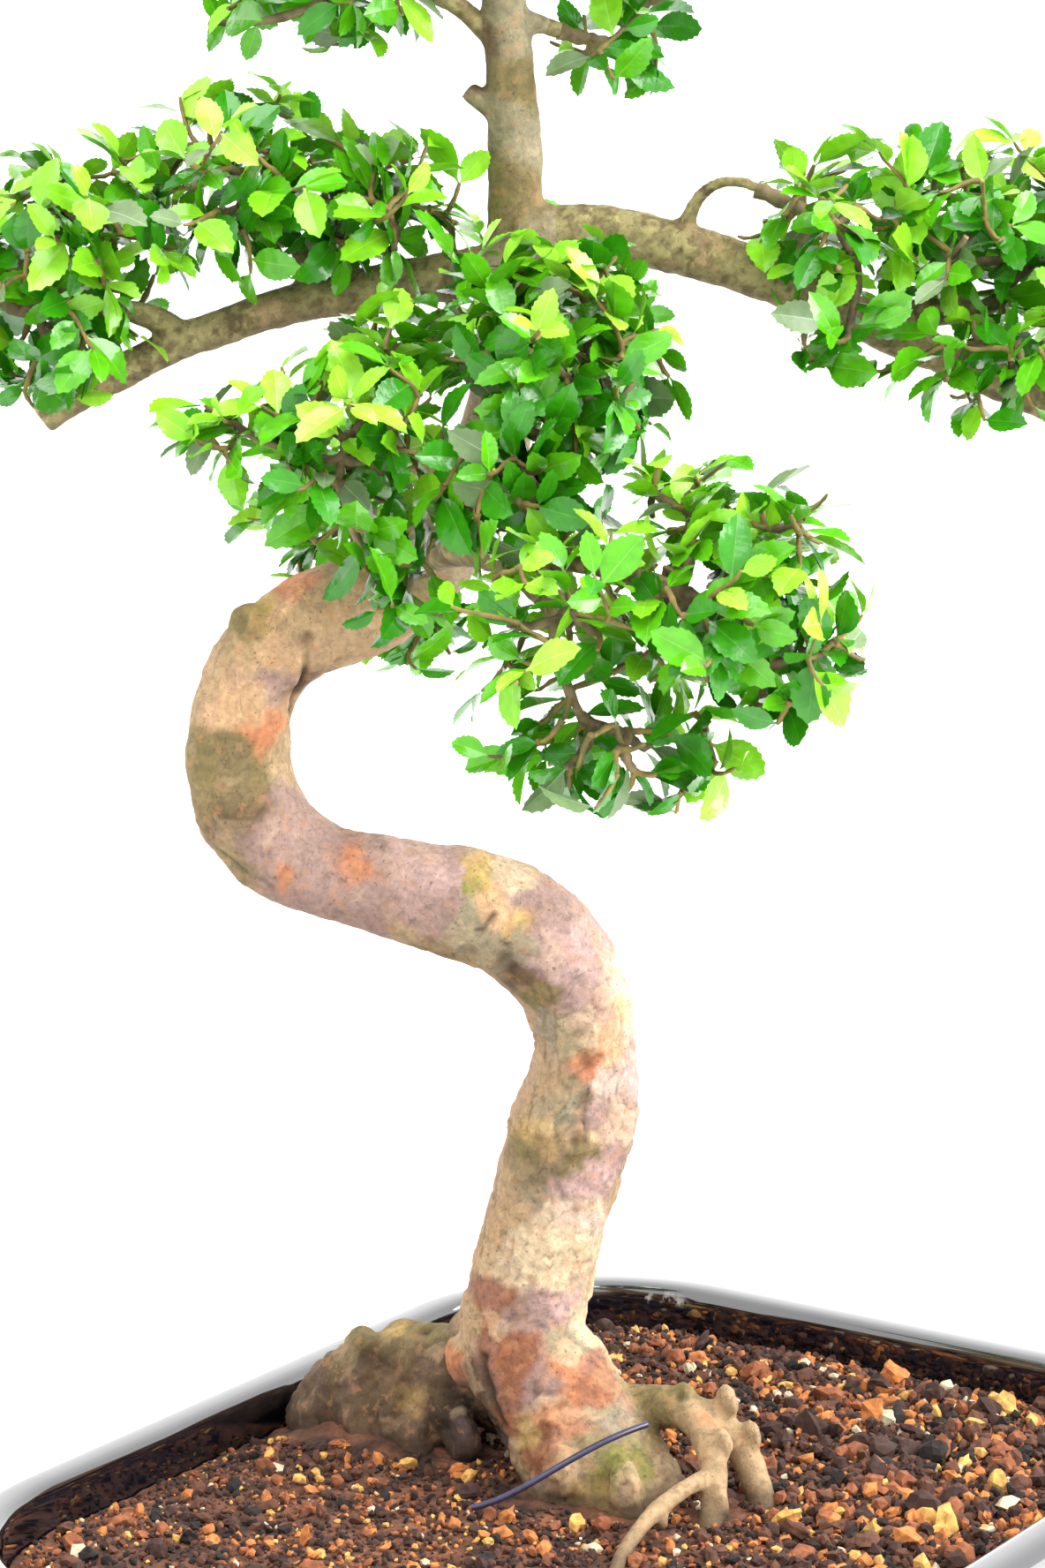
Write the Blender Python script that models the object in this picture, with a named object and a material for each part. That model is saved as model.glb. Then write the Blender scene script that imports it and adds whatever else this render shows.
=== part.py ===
"""Bonsai tree in a glazed rectangular pot: an S-curved trunk on a root
flare, tapering boughs, and masses of small leaves on branching twigs.

Metres, +Z up. The origin is the centre of the pot's flat underside, and
the pot's long side runs along X. The tree is modelled in a frame of its
own that stands on the soil: X to the right and Y to the back as the tree
is shown from its front. That frame is then turned in the pot.
"""

import math
import random
from collections import namedtuple

import bmesh
import bpy
import numpy as np
from mathutils import Matrix, Vector
from mathutils.geometry import interpolate_bezier

# The pot: a rounded rectangle with a rim, set in above a flat underside
POT_LENGTH = 0.250
POT_WIDTH = 0.197
POT_HEIGHT = 0.075
POT_CORNER = 0.056
CORNER_STEPS = 6
HOLE_RADIUS = 0.011
HOLE_SPACING = 0.110

# The pot's section: how far in from the outer outline, and how high
UNDERSIDE_EDGE = (0.0150, 0.0)
OUTER_PROFILE = (
    (0.0135, 0.0012), (0.0105, 0.0140), (0.0070, 0.0380), (0.0045, 0.0600),
    (0.0040, 0.0655), (0.0008, 0.0668), (0.0000, 0.0682), (0.0000, 0.0722),
    (0.0010, 0.0742), (0.0028, POT_HEIGHT),
)
RIM_INNER_EDGE = (0.0088, POT_HEIGHT)
INNER_PROFILE = (
    (0.0098, 0.0740), (0.0102, 0.0715), (0.0108, 0.0665), (0.0125, 0.0380),
    (0.0155, 0.0150), (0.0190, 0.0090), (0.0240, 0.0075),
)

# The soil fills the pot to a little under the rim and rises inwards
GAP = 0.0003
SOIL_TOP = 0.070
SOIL_WALL_TOP = 0.0675
SOIL_WALL_INSET = 0.0032
SOIL_SHOULDER = 0.0240

# The tree's own frame
TREE_TURN = math.radians(-55.77)
GROUND_CUT = GAP

# The trunk is a chain of arcs seen from the front. Each stretch holds its
# length, the lean at its end in degrees from upright (right is positive),
# its place in depth there, and its thickness there.
TRUNK_FOOT = (0.0099, 0.0055, -0.0135)
TRUNK_FOOT_LEAN = -32.0
TRUNK_FOOT_THICKNESS = 0.0318
TRUNK_STRETCHES = (
    (0.0445, -33.0, 0.0210, 0.0275),
    (0.0055, 10.5, 0.0235, 0.0266),
    (0.0243, 14.0, 0.0240, 0.0250),
    (0.0212, 17.5, 0.0240, 0.0270),
    (0.0182, -1.5, 0.0240, 0.0205),
    (0.0243, -47.5, 0.0240, 0.0248),
    (0.0185, -78.5, 0.0235, 0.0238),
    (0.0293, -74.5, 0.0230, 0.0192),
    (0.0188, -26.5, 0.0225, 0.0228),
    (0.0273, 21.0, 0.0225, 0.0200),
    (0.0246, 77.0, 0.0230, 0.0216),
    (0.0314, 30.5, 0.0240, 0.0167),
    (0.0408, 4.0, 0.0240, 0.0136),
    (0.0646, -6.0, 0.0240, 0.0092),
    (0.0324, 5.5, 0.0225, 0.0080),
    (0.0305, 9.5, 0.0210, 0.0060),
)
TRUNK_STEP = 0.008
TRUNK_SIDES = 10
LIMB_SIDES = 6
LIMB_STEPS = 7
CAP_WELD = 0.00001

# A limb bends from its foot to its tip by two bends between them, and
# tapers from its thickness at the foot to that at the tip.
Limb = namedtuple("Limb", "foot bend_a bend_b tip thick thin")

ROOTS = {
    "left_leg": Limb(
        (-0.018, 0.029, 0.034), (-0.025, 0.038, 0.022),
        (-0.030, 0.046, 0.010), (-0.032, 0.049, -0.006), 0.0140, 0.0125),
    "hump": Limb(
        (-0.014, 0.034, 0.012), (-0.032, 0.041, 0.0130),
        (-0.050, 0.050, 0.0140), (-0.060, 0.056, -0.006), 0.0225, 0.0180),
    "right_root": Limb(
        (0.000, 0.018, 0.012), (0.014, 0.015, 0.016),
        (0.032, 0.008, 0.019), (0.0355, -0.002, -0.004), 0.0085, 0.0062),
    "knee_root": Limb(
        (0.012, 0.014, 0.0125), (0.023, 0.009, 0.018),
        (0.028, -0.006, 0.010), (0.023, -0.015, -0.004), 0.0075, 0.0050),
    "thin_root": Limb(
        (0.0255, -0.005, 0.0060), (0.016, -0.016, 0.0065),
        (0.007, -0.026, 0.0030), (0.003, -0.043, -0.0025), 0.0042, 0.0032),
}
STUB = Limb(
    (-0.018, 0.024, 0.283), (-0.021, 0.024, 0.286),
    (-0.0235, 0.024, 0.287), (-0.0260, 0.0235, 0.2895), 0.0050, 0.0042)
SCAR_CENTRE = (-0.0712, 0.0172, 0.1800)
SCAR_RADIUS = 0.0058

BOUGHS = {
    "left_bough": ("trunk", Limb(
        (-0.016, 0.024, 0.254), (-0.040, 0.021, 0.2500),
        (-0.075, 0.017, 0.2495), (-0.112, 0.012, 0.2240), 0.0098, 0.0068)),
    "left_side_limb": ("left_bough", Limb(
        (-0.084, 0.0152, 0.2395), (-0.088, 0.012, 0.2470),
        (-0.102, 0.010, 0.2480), (-0.114, 0.008, 0.2460), 0.0050, 0.0036)),
    "left_riser": ("left_bough", Limb(
        (-0.058, 0.0188, 0.2480), (-0.058, 0.021, 0.2540),
        (-0.061, 0.024, 0.2590), (-0.064, 0.026, 0.2630), 0.0042, 0.0032)),
    "right_bough": ("trunk", Limb(
        (-0.016, 0.024, 0.260), (0.022, 0.023, 0.2655),
        (0.052, 0.020, 0.2405), (0.107, 0.018, 0.2215), 0.0116, 0.0072)),
    "right_fork": ("right_bough", Limb(
        (0.052, 0.0205, 0.2430), (0.068, 0.024, 0.2430),
        (0.084, 0.034, 0.2470), (0.096, 0.040, 0.2480), 0.0066, 0.0042)),
    "right_riser": ("right_bough", Limb(
        (0.018, 0.0225, 0.2600), (0.019, 0.021, 0.2700),
        (0.026, 0.017, 0.2745), (0.0335, 0.013, 0.2695), 0.0028, 0.0022)),
    "front_bough": ("trunk", Limb(
        (-0.037, 0.0235, 0.192), (-0.031, -0.002, 0.204),
        (-0.016, -0.026, 0.203), (-0.007, -0.041, 0.192), 0.0086, 0.0054)),
    "front_fork": ("front_bough", Limb(
        (-0.0195, -0.0190, 0.2005), (-0.008, -0.033, 0.203),
        (0.006, -0.042, 0.201), (0.014, -0.046, 0.198), 0.0046, 0.0036)),
    "centre_bough": ("trunk", Limb(
        (-0.0195, 0.024, 0.223), (-0.018, 0.010, 0.230),
        (-0.012, -0.004, 0.231), (-0.007, -0.014, 0.232), 0.0060, 0.0042)),
    "front_left_bough": ("trunk", Limb(
        (-0.025, 0.024, 0.207), (-0.036, 0.008, 0.217),
        (-0.042, -0.004, 0.221), (-0.048, -0.013, 0.223), 0.0060, 0.0042)),
    "back_low_bough": ("trunk", Limb(
        (-0.054, 0.023, 0.184), (-0.056, 0.042, 0.191),
        (-0.052, 0.054, 0.187), (-0.050, 0.062, 0.188), 0.0066, 0.0044)),
    "back_bough": ("trunk", Limb(
        (-0.0172, 0.024, 0.237), (-0.018, 0.042, 0.245),
        (-0.014, 0.054, 0.242), (-0.012, 0.062, 0.241), 0.0066, 0.0044)),
    "upper_left_bough": ("trunk", Limb(
        (-0.0170, 0.024, 0.294), (-0.024, 0.024, 0.305),
        (-0.030, 0.023, 0.308), (-0.036, 0.022, 0.309), 0.0046, 0.0034)),
    "upper_right_bough": ("trunk", Limb(
        (-0.0180, 0.024, 0.3025), (-0.012, 0.0255, 0.3035),
        (-0.009, 0.027, 0.3015), (-0.006, 0.0275, 0.3005), 0.0042, 0.0030)),
    "upper_back_bough": ("trunk", Limb(
        (-0.0185, 0.0238, 0.316), (-0.018, 0.034, 0.327),
        (-0.019, 0.041, 0.329), (-0.019, 0.047, 0.330), 0.0044, 0.0032)),
    "upper_front_bough": ("trunk", Limb(
        (-0.0185, 0.0235, 0.323), (-0.016, 0.013, 0.334),
        (-0.015, 0.005, 0.336), (-0.014, -0.001, 0.337), 0.0042, 0.0030)),
    "high_right_bough": ("trunk", Limb(
        (-0.0175, 0.0225, 0.334), (-0.007, 0.022, 0.342),
        (0.001, 0.022, 0.344), (0.007, 0.022, 0.345), 0.0040, 0.0030)),
    "high_left_bough": ("trunk", Limb(
        (-0.0165, 0.0220, 0.345), (-0.024, 0.021, 0.351),
        (-0.029, 0.020, 0.353), (-0.034, 0.020, 0.354), 0.0036, 0.0028)),
}

# A mass of foliage keeps to lobes, each a centre and three half widths. Its
# stem meets the tip of its bough, and its share of the leaves is a weight.
Mass = namedtuple("Mass", "bough share lobes")
Lobe = namedtuple("Lobe", "centre radii")

MASSES = {
    "left_inner_foliage": Mass("left_riser", 1.0, (
        Lobe((-0.072, 0.012, 0.2720), (0.022, 0.026, 0.0190)),
        Lobe((-0.044, 0.015, 0.2655), (0.020, 0.020, 0.0160)))),
    "left_outer_foliage": Mass("left_side_limb", 1.0, (
        Lobe((-0.127, 0.014, 0.2550), (0.018, 0.022, 0.0160)),
        Lobe((-0.104, 0.010, 0.2570), (0.022, 0.028, 0.0220)),
        Lobe((-0.112, 0.004, 0.2345), (0.012, 0.012, 0.0090)))),
    "right_inner_foliage": Mass("right_riser", 1.0, (
        Lobe((0.048, 0.012, 0.2630), (0.018, 0.024, 0.0170)),
        Lobe((0.047, 0.000, 0.2405), (0.009, 0.012, 0.0070)))),
    "right_outer_foliage": Mass("right_fork", 1.0, (
        Lobe((0.104, 0.034, 0.2560), (0.022, 0.026, 0.0200)),
        Lobe((0.076, 0.024, 0.2610), (0.022, 0.028, 0.0200)))),
    "right_tip_foliage": Mass("right_bough", 1.3, (
        Lobe((0.114, 0.012, 0.2310), (0.018, 0.022, 0.0150)),
        Lobe((0.080, 0.008, 0.2360), (0.024, 0.018, 0.0115)))),
    "front_low_foliage": Mass("front_bough", 1.3, (
        Lobe((-0.007, -0.048, 0.1930), (0.022, 0.020, 0.0185)),
        Lobe((0.003, -0.047, 0.1675), (0.024, 0.018, 0.0125)))),
    "front_right_foliage": Mass("front_fork", 1.3, (
        Lobe((0.0235, -0.050, 0.1945), (0.0215, 0.021, 0.0185)),
        Lobe((0.0415, -0.053, 0.1885), (0.0110, 0.012, 0.0085)),
        Lobe((0.0350, -0.046, 0.2100), (0.0110, 0.011, 0.0095)),
        Lobe((0.0160, -0.037, 0.2150), (0.0115, 0.011, 0.0110)),
        Lobe((0.0345, -0.050, 0.1765), (0.0105, 0.011, 0.0065)))),
    "centre_foliage": Mass("centre_bough", 1.4, (
        Lobe((-0.010, -0.016, 0.2350), (0.0185, 0.020, 0.0200)),
        Lobe((-0.018, -0.030, 0.2140), (0.020, 0.016, 0.0150)),
        Lobe((0.0045, -0.012, 0.2320), (0.0115, 0.013, 0.0160)),
        Lobe((-0.002, -0.004, 0.2530), (0.011, 0.012, 0.0110)),
        Lobe((-0.0185, -0.004, 0.2530), (0.0105, 0.010, 0.0100)))),
    "front_left_foliage": Mass("front_left_bough", 1.4, (
        Lobe((-0.049, -0.026, 0.2235), (0.0195, 0.020, 0.0170)),
        Lobe((-0.0735, -0.028, 0.2265), (0.0115, 0.012, 0.0075)),
        Lobe((-0.0390, -0.030, 0.1975), (0.0110, 0.011, 0.0110)),
        Lobe((-0.0400, -0.004, 0.2400), (0.0135, 0.012, 0.0105)))),
    "back_low_foliage": Mass("back_low_bough", 0.9, (
        Lobe((-0.052, 0.077, 0.1930), (0.022, 0.022, 0.0230)),
        Lobe((-0.038, 0.072, 0.1700), (0.014, 0.014, 0.0080)))),
    "back_foliage": Mass("back_bough", 1.0, (
        Lobe((-0.012, 0.084, 0.2380), (0.025, 0.026, 0.0200)),)),
    "upper_left_foliage": Mass("upper_left_bough", 1.0, (
        Lobe((-0.049, 0.022, 0.3135), (0.0180, 0.022, 0.0155)),
        Lobe((-0.073, 0.019, 0.3050), (0.0080, 0.010, 0.0080)))),
    "upper_right_foliage": Mass("upper_right_bough", 0.8, (
        Lobe((0.003, 0.030, 0.2985), (0.0130, 0.017, 0.0100)),
        Lobe((0.013, 0.030, 0.3080), (0.0095, 0.014, 0.0085)))),
    "upper_back_foliage": Mass("upper_back_bough", 1.0, (
        Lobe((-0.019, 0.068, 0.3360), (0.029, 0.026, 0.0210)),)),
    "upper_front_foliage": Mass("upper_front_bough", 1.0, (
        Lobe((-0.014, -0.023, 0.3420), (0.027, 0.025, 0.0200)),)),
    "high_right_foliage": Mass("high_right_bough", 1.0, (
        Lobe((0.027, 0.022, 0.3490), (0.025, 0.027, 0.0190)),)),
    "high_left_foliage": Mass("high_left_bough", 1.0, (
        Lobe((-0.056, 0.020, 0.3560), (0.024, 0.026, 0.0180)),)),
    "apex_foliage": Mass("trunk", 0.8, (
        Lobe((-0.010, 0.020, 0.3880), (0.035, 0.033, 0.0240)),
        Lobe((-0.006, 0.020, 0.4110), (0.021, 0.021, 0.0140)))),
}

# Twigs and leaves
LEAVES_IN_ALL = 590
LEAVES_PER_SHOOT = 5
FIRST_LEAF = 0.3
LEAFY_SHARE = 0.6
END_LEAF_SINK = 0.0003
END_LEAF_SIDE = 0.3
LEAF_LENGTH = 0.0245
LEAF_WIDTH = 0.0155
LEAF_THICKNESS = 0.0007
LEAF_WIDEST = 0.45
LEAF_SINK = 0.0001
LEAF_SPREAD = math.radians(48)
SPREAD_RANGE = (0.8, 1.7)
LENGTH_RANGE = (0.8, 1.1)
UPRIGHT_TWIG = 0.2
UPRIGHT_TURNS = 900
STEM_RADIUS = 0.0015
TWIG_RADIUS = 0.0012
TWIG_TIP_RADIUS = 0.0008
TWIG_SPACING = 0.004
SHORTEST_TWIG = 0.004
SHOOT_INNER = 0.38
SHOOT_SPREAD = 0.34
SPIRAL_JITTER = 0.3
STEM_KNEE = 0.004
LEAF_SKIN = 1.25
LEAF_LIFT = (-0.5, 0.8)
LEAF_TILT = 0.9
LEAF_TRIES = 80
LEAF_APART = 0.0020
LIMB_CLEARANCE = 0.0009
TWIG_CLEARANCE = 0.0008
SPACE_MARGIN = 0.035
SEED = 41

# The tie wire that leans on the foot of the trunk
WIRE_RADIUS = 0.0007
WIRE_ROUTE = (
    (-0.0255, -0.0120, 0.0012), (-0.0145, -0.0125, 0.0036),
    (-0.0045, -0.0115, 0.0140), (0.0110, 0.0000, 0.0150),
)
WIRE_STEPS = 11

# Edges sharper than this stay sharp
SHARP_ANGLE = math.radians(50)

# Base colours, roughness
GLAZE = ((0.004, 0.005, 0.012, 1.0), 0.12)
SOIL = ((0.055, 0.022, 0.012, 1.0), 0.95)
BARK = ((0.300, 0.190, 0.110, 1.0), 0.80)
YOUNG_BARK = ((0.220, 0.165, 0.090, 1.0), 0.80)
LEAF_GREEN = ((0.085, 0.270, 0.025, 1.0), 0.35)
WIRE_COAT = ((0.010, 0.008, 0.018, 1.0), 0.30)


def material(name, look):
    colour, roughness = look
    made = bpy.data.materials.new(name)
    made.use_nodes = True
    shader = made.node_tree.nodes["Principled BSDF"]
    shader.inputs["Base Color"].default_value = colour
    shader.inputs["Roughness"].default_value = roughness
    shader.inputs["Metallic"].default_value = 0.0
    made.diffuse_color = colour
    return made


def new_collection(name):
    made = bpy.data.collections.new(name)
    bpy.context.scene.collection.children.link(made)
    return made


def add_object(name, mesh, collection, look=None):
    made = bpy.data.objects.new(name, mesh)
    collection.objects.link(made)
    if look is not None:
        mesh.materials.clear()
        mesh.materials.append(material(name, look))
    return made


def mesh_of(name, bm):
    mesh = bpy.data.meshes.new(name)
    bm.to_mesh(mesh)
    bm.free()
    return mesh


def remove_objects(objects):
    for one in list(objects):
        bpy.data.objects.remove(one)


def evaluated_mesh(made):
    """The object's mesh with its modifiers applied."""
    bpy.context.view_layer.update()
    graph = bpy.context.evaluated_depsgraph_get()
    return bpy.data.meshes.new_from_object(made.evaluated_get(graph))


def rounded_rectangle(length, width, radius):
    """Points round a rectangle with round corners, corner by corner."""
    points = []
    corners = ((1, 1), (-1, 1), (-1, -1), (1, -1))
    for index, (side_x, side_y) in enumerate(corners):
        centre_x = side_x * (length / 2 - radius)
        centre_y = side_y * (width / 2 - radius)
        for step in range(CORNER_STEPS + 1):
            angle = math.pi / 2 * (index + step / CORNER_STEPS)
            points.append((
                centre_x + radius * math.cos(angle),
                centre_y + radius * math.sin(angle),
            ))
    return points


def pot_ring(bm, inset, height):
    """One closed ring of edges, set in from the pot's outer outline."""
    outline = rounded_rectangle(
        POT_LENGTH - 2 * inset, POT_WIDTH - 2 * inset, POT_CORNER - inset)
    verts = [bm.verts.new((x, y, height)) for x, y in outline]
    return [bm.edges.new(pair) for pair in zip(verts, verts[1:] + verts[:1])]


def stacked_rings(name, stations):
    """A closed shape through rings, each an inset and a height."""
    bm = bmesh.new()
    rings = [pot_ring(bm, inset, height) for inset, height in stations]
    for lower, upper in zip(rings, rings[1:]):
        bmesh.ops.bridge_loops(bm, edges=lower + upper)
    for end in (rings[0], rings[-1]):
        bmesh.ops.holes_fill(bm, edges=end, sides=0)
    bmesh.ops.recalc_face_normals(bm, faces=bm.faces)
    return mesh_of(name, bm)


def add_pot(parts, cutters):
    stations = (UNDERSIDE_EDGE,) + OUTER_PROFILE + (RIM_INNER_EDGE,) + INNER_PROFILE
    pot = add_object("pot", stacked_rings("pot", stations), parts, GLAZE)
    for side in (-1, 1):
        bm = bmesh.new()
        bmesh.ops.create_cone(
            bm, cap_ends=True, segments=20, radius1=HOLE_RADIUS,
            radius2=HOLE_RADIUS, depth=POT_HEIGHT / 2)
        hole = add_object("drain_hole", mesh_of("drain_hole", bm), cutters)
        hole.location.x = side * HOLE_SPACING / 2
        hole.hide_render = True
        hole.display_type = "WIRE"
        cut = pot.modifiers.new("drain hole", "BOOLEAN")
        cut.operation = "DIFFERENCE"
        cut.object = hole


def add_soil(parts):
    lowest = INNER_PROFILE[-1]
    stations = [(lowest[0] + GAP, lowest[1] + GAP)]
    for inset, height in reversed(INNER_PROFILE[:-1]):
        if height < SOIL_WALL_TOP:
            stations.append((inset + GAP, height + GAP))
    stations.append((RIM_INNER_EDGE[0] + SOIL_WALL_INSET, SOIL_WALL_TOP))
    stations.append((SOIL_SHOULDER, SOIL_TOP))
    add_object("soil", stacked_rings("soil", stations), parts, SOIL)


def trunk_path():
    """Centre points and radii along the trunk, arc after arc."""
    x, depth, height = TRUNK_FOOT
    lean = TRUNK_FOOT_LEAN
    radius = TRUNK_FOOT_THICKNESS / 2
    points = [Vector((x, depth, height))]
    radii = [radius]
    for length, end_lean, end_depth, end_thickness in TRUNK_STRETCHES:
        steps = max(2, round(length / TRUNK_STEP))
        for step in range(steps):
            middle = math.radians(lean + (end_lean - lean) * (step + 0.5) / steps)
            along = (step + 1) / steps
            x += length / steps * math.sin(middle)
            height += length / steps * math.cos(middle)
            points.append(Vector((x, depth + (end_depth - depth) * along, height)))
            radii.append(radius + (end_thickness / 2 - radius) * along)
        lean = end_lean
        depth = end_depth
        radius = end_thickness / 2
    return points, radii


def limb_path(limb):
    points = interpolate_bezier(
        Vector(limb.foot), Vector(limb.bend_a), Vector(limb.bend_b),
        Vector(limb.tip), LIMB_STEPS)
    last = len(points) - 1
    radii = [
        (limb.thick + (limb.thin - limb.thick) * index / last) / 2
        for index in range(len(points))
    ]
    return points, radii


def tube_mesh(name, path, sides, swell=0.0):
    """A round bar of changing radius along a path, as a closed mesh."""
    points, radii = path
    curve = bpy.data.curves.new(name, "CURVE")
    curve.dimensions = "3D"
    curve.bevel_depth = 1.0
    curve.bevel_resolution = sides // 2 - 2
    curve.use_fill_caps = True
    spline = curve.splines.new("POLY")
    spline.points.add(len(points) - 1)
    for point, place, radius in zip(spline.points, points, radii):
        point.co = (*place, 1.0)
        point.radius = radius + swell
    bar = add_object(name, curve, bpy.context.scene.collection)
    mesh = evaluated_mesh(bar)
    bpy.data.objects.remove(bar)
    bpy.data.curves.remove(curve)
    bm = bmesh.new()
    bm.from_mesh(mesh)
    bmesh.ops.remove_doubles(bm, verts=bm.verts, dist=CAP_WELD)
    bmesh.ops.recalc_face_normals(bm, faces=bm.faces)
    bm.to_mesh(mesh)
    bm.free()
    return mesh


def combined(base, mode, collection):
    """The base object's mesh after one Boolean with a whole collection."""
    change = base.modifiers.new(mode.lower(), "BOOLEAN")
    change.operation = mode
    change.operand_type = "COLLECTION"
    change.collection = collection
    change.solver = "MANIFOLD"
    mesh = evaluated_mesh(base)
    remove_objects([base] + list(collection.objects))
    return mesh


def keep_largest_body(mesh):
    """Drops loose scraps and sealed hollows, leaving one closed body."""
    bm = bmesh.new()
    bm.from_mesh(mesh)
    unseen = set(bm.verts)
    bodies = []
    while unseen:
        body = [unseen.pop()]
        for vert in body:
            for edge in vert.link_edges:
                other = edge.other_vert(vert)
                if other in unseen:
                    unseen.remove(other)
                    body.append(other)
        bodies.append(body)
    bodies.sort(key=len, reverse=True)
    scraps = [vert for body in bodies[1:] for vert in body]
    bmesh.ops.delete(bm, geom=scraps, context="VERTS")
    bm.to_mesh(mesh)
    bm.free()
    return mesh


def cut_at_ground(mesh):
    """Cuts the mesh flat just above the soil and closes the cut."""
    bm = bmesh.new()
    bm.from_mesh(mesh)
    cut = bmesh.ops.bisect_plane(
        bm, geom=bm.verts[:] + bm.edges[:] + bm.faces[:], dist=0.000001,
        plane_co=(0.0, 0.0, GROUND_CUT), plane_no=(0.0, 0.0, 1.0),
        clear_inner=True)
    rim = [item for item in cut["geom_cut"] if isinstance(item, bmesh.types.BMEdge)]
    bmesh.ops.holes_fill(bm, edges=rim, sides=0)
    bmesh.ops.recalc_face_normals(bm, faces=bm.faces)
    bm.to_mesh(mesh)
    bm.free()
    return mesh


def shade(mesh):
    """Smooth shading, but for edges sharper than the angle."""
    mesh.shade_smooth()
    mesh.set_sharp_from_angle(angle=SHARP_ANGLE)


def add_trunk(parts, work, tree):
    """The trunk with its root flare, surface roots, stub and scar."""
    base = add_object("trunk", tube_mesh("trunk", trunk_path(), TRUNK_SIDES), parts)
    for name, limb in list(ROOTS.items()) + [("stub", STUB)]:
        add_object(name, tube_mesh(name, limb_path(limb), LIMB_SIDES), work)
    bm = bmesh.new()
    bmesh.ops.create_uvsphere(bm, u_segments=10, v_segments=6, radius=SCAR_RADIUS)
    scar = add_object("scar", mesh_of("scar", bm), work)
    scar.location = SCAR_CENTRE
    mesh = cut_at_ground(keep_largest_body(combined(base, "UNION", work)))
    shade(mesh)
    trunk = add_object("trunk", mesh, parts, BARK)
    trunk.parent = tree


def add_bough(name, parent_path, parent_sides, limb, parts, work, tree):
    """A limb whose foot is cut to its parent's round side, a gap away."""
    base = add_object(name, tube_mesh(name, limb_path(limb), LIMB_SIDES), parts)
    add_object("side", tube_mesh("side", parent_path, parent_sides, GAP), work)
    mesh = keep_largest_body(combined(base, "DIFFERENCE", work))
    shade(mesh)
    bough = add_object(name, mesh, parts, YOUNG_BARK)
    bough.parent = tree


class Bars:
    """Round bars along paths, to test how clear of them places are."""

    def __init__(self, paths):
        starts = []
        ends = []
        reach = []
        for points, radii in paths:
            starts.extend(points[:-1])
            ends.extend(points[1:])
            reach.extend(max(pair) for pair in zip(radii, radii[1:]))
        self.starts = np.array(starts)
        self.spans = np.array(ends) - self.starts
        self.reach = np.array(reach)

    def clear(self, places, clearance):
        offset = places[:, None, :] - self.starts
        length_squared = (self.spans ** 2).sum(axis=1)
        along = (offset * self.spans).sum(axis=2) / length_squared
        nearest = np.clip(along, 0.0, 1.0)[:, :, None] * self.spans
        away = np.sqrt(((offset - nearest) ** 2).sum(axis=2))
        return bool((away > self.reach + clearance).all())


def depth_in(places, lobes):
    """Scaled distance to the nearest lobe's centre: 1 on its skin."""
    centres = np.array([lobe.centre for lobe in lobes])
    radii = np.array([lobe.radii for lobe in lobes])
    scaled = (places[:, None, :] - centres) / radii
    return np.sqrt((scaled ** 2).sum(axis=2)).min(axis=1)


def in_own_space(name, places, skin):
    """True where the places lie in the mass's own part of the crown."""
    own = depth_in(places, MASSES[name].lobes)
    if (own > skin).any():
        return False
    return not any(
        (depth_in(places, mass.lobes) < own + SPACE_MARGIN).any()
        for other, mass in MASSES.items() if other != name
    )


def spots_between(start, end, count):
    return np.array([start.lerp(end, step / count) for step in range(count + 1)])


def shoot_ends(lobe, count, rng):
    """Places spread evenly through a lobe on a golden-angle spiral."""
    ends = []
    for index in range(count):
        level = 1.0 - 2.0 * (index + 0.5) / count
        angle = index * math.pi * (3.0 - math.sqrt(5.0)) + rng.uniform(-SPIRAL_JITTER, SPIRAL_JITTER)
        ring = math.sqrt(1.0 - level * level)
        outwards = SHOOT_INNER + SHOOT_SPREAD * ((index * 0.618) % 1.0)
        direction = (ring * math.cos(angle), ring * math.sin(angle), level)
        ends.append(Vector([
            middle + half * part * outwards
            for middle, half, part in zip(lobe.centre, lobe.radii, direction)
        ]))
    return ends


def leaf_frame(root, along, facing, length):
    """The matrix that lays a leaf of one metre along a direction."""
    side = facing.cross(along).normalized()
    normal = along.cross(side).normalized()
    turn = Matrix((along, side, normal)).transposed().to_4x4()
    sizes = Matrix.Diagonal((length, length, length, 1.0))
    return Matrix.Translation(root - along * LEAF_SINK) @ turn @ sizes


def leaf_mesh():
    """A leaf one metre long: eight faces, root at the origin, tip at +X."""
    bm = bmesh.new()
    bmesh.ops.create_uvsphere(bm, u_segments=4, v_segments=2, radius=1.0)
    lay_down = Matrix.Rotation(math.radians(90), 4, "Y")
    bmesh.ops.rotate(bm, verts=bm.verts, matrix=lay_down)
    for vert in bm.verts:
        on_rim = abs(vert.co.x) < 0.5
        vert.co.x = LEAF_WIDEST if on_rim else (vert.co.x + 1.0) / 2
        vert.co.y *= LEAF_WIDTH / LEAF_LENGTH / 2
        vert.co.z *= LEAF_THICKNESS / LEAF_LENGTH / 2
    bmesh.ops.recalc_face_normals(bm, faces=bm.faces)
    return mesh_of("leaf", bm)


def leaf_spots(frame):
    """Sample places over a leaf, to test against what is near it."""
    half_width = LEAF_WIDTH / LEAF_LENGTH / 2
    spots = []
    for step in range(1, 7):
        along = step / 6
        swell = 1.0 - abs(along - LEAF_WIDEST) / (1.0 - LEAF_WIDEST)
        for side in (-1, 0, 1):
            spots.append(frame @ Vector((along, side * half_width * max(swell, 0.0), 0.0)))
    return np.array(spots)


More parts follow.
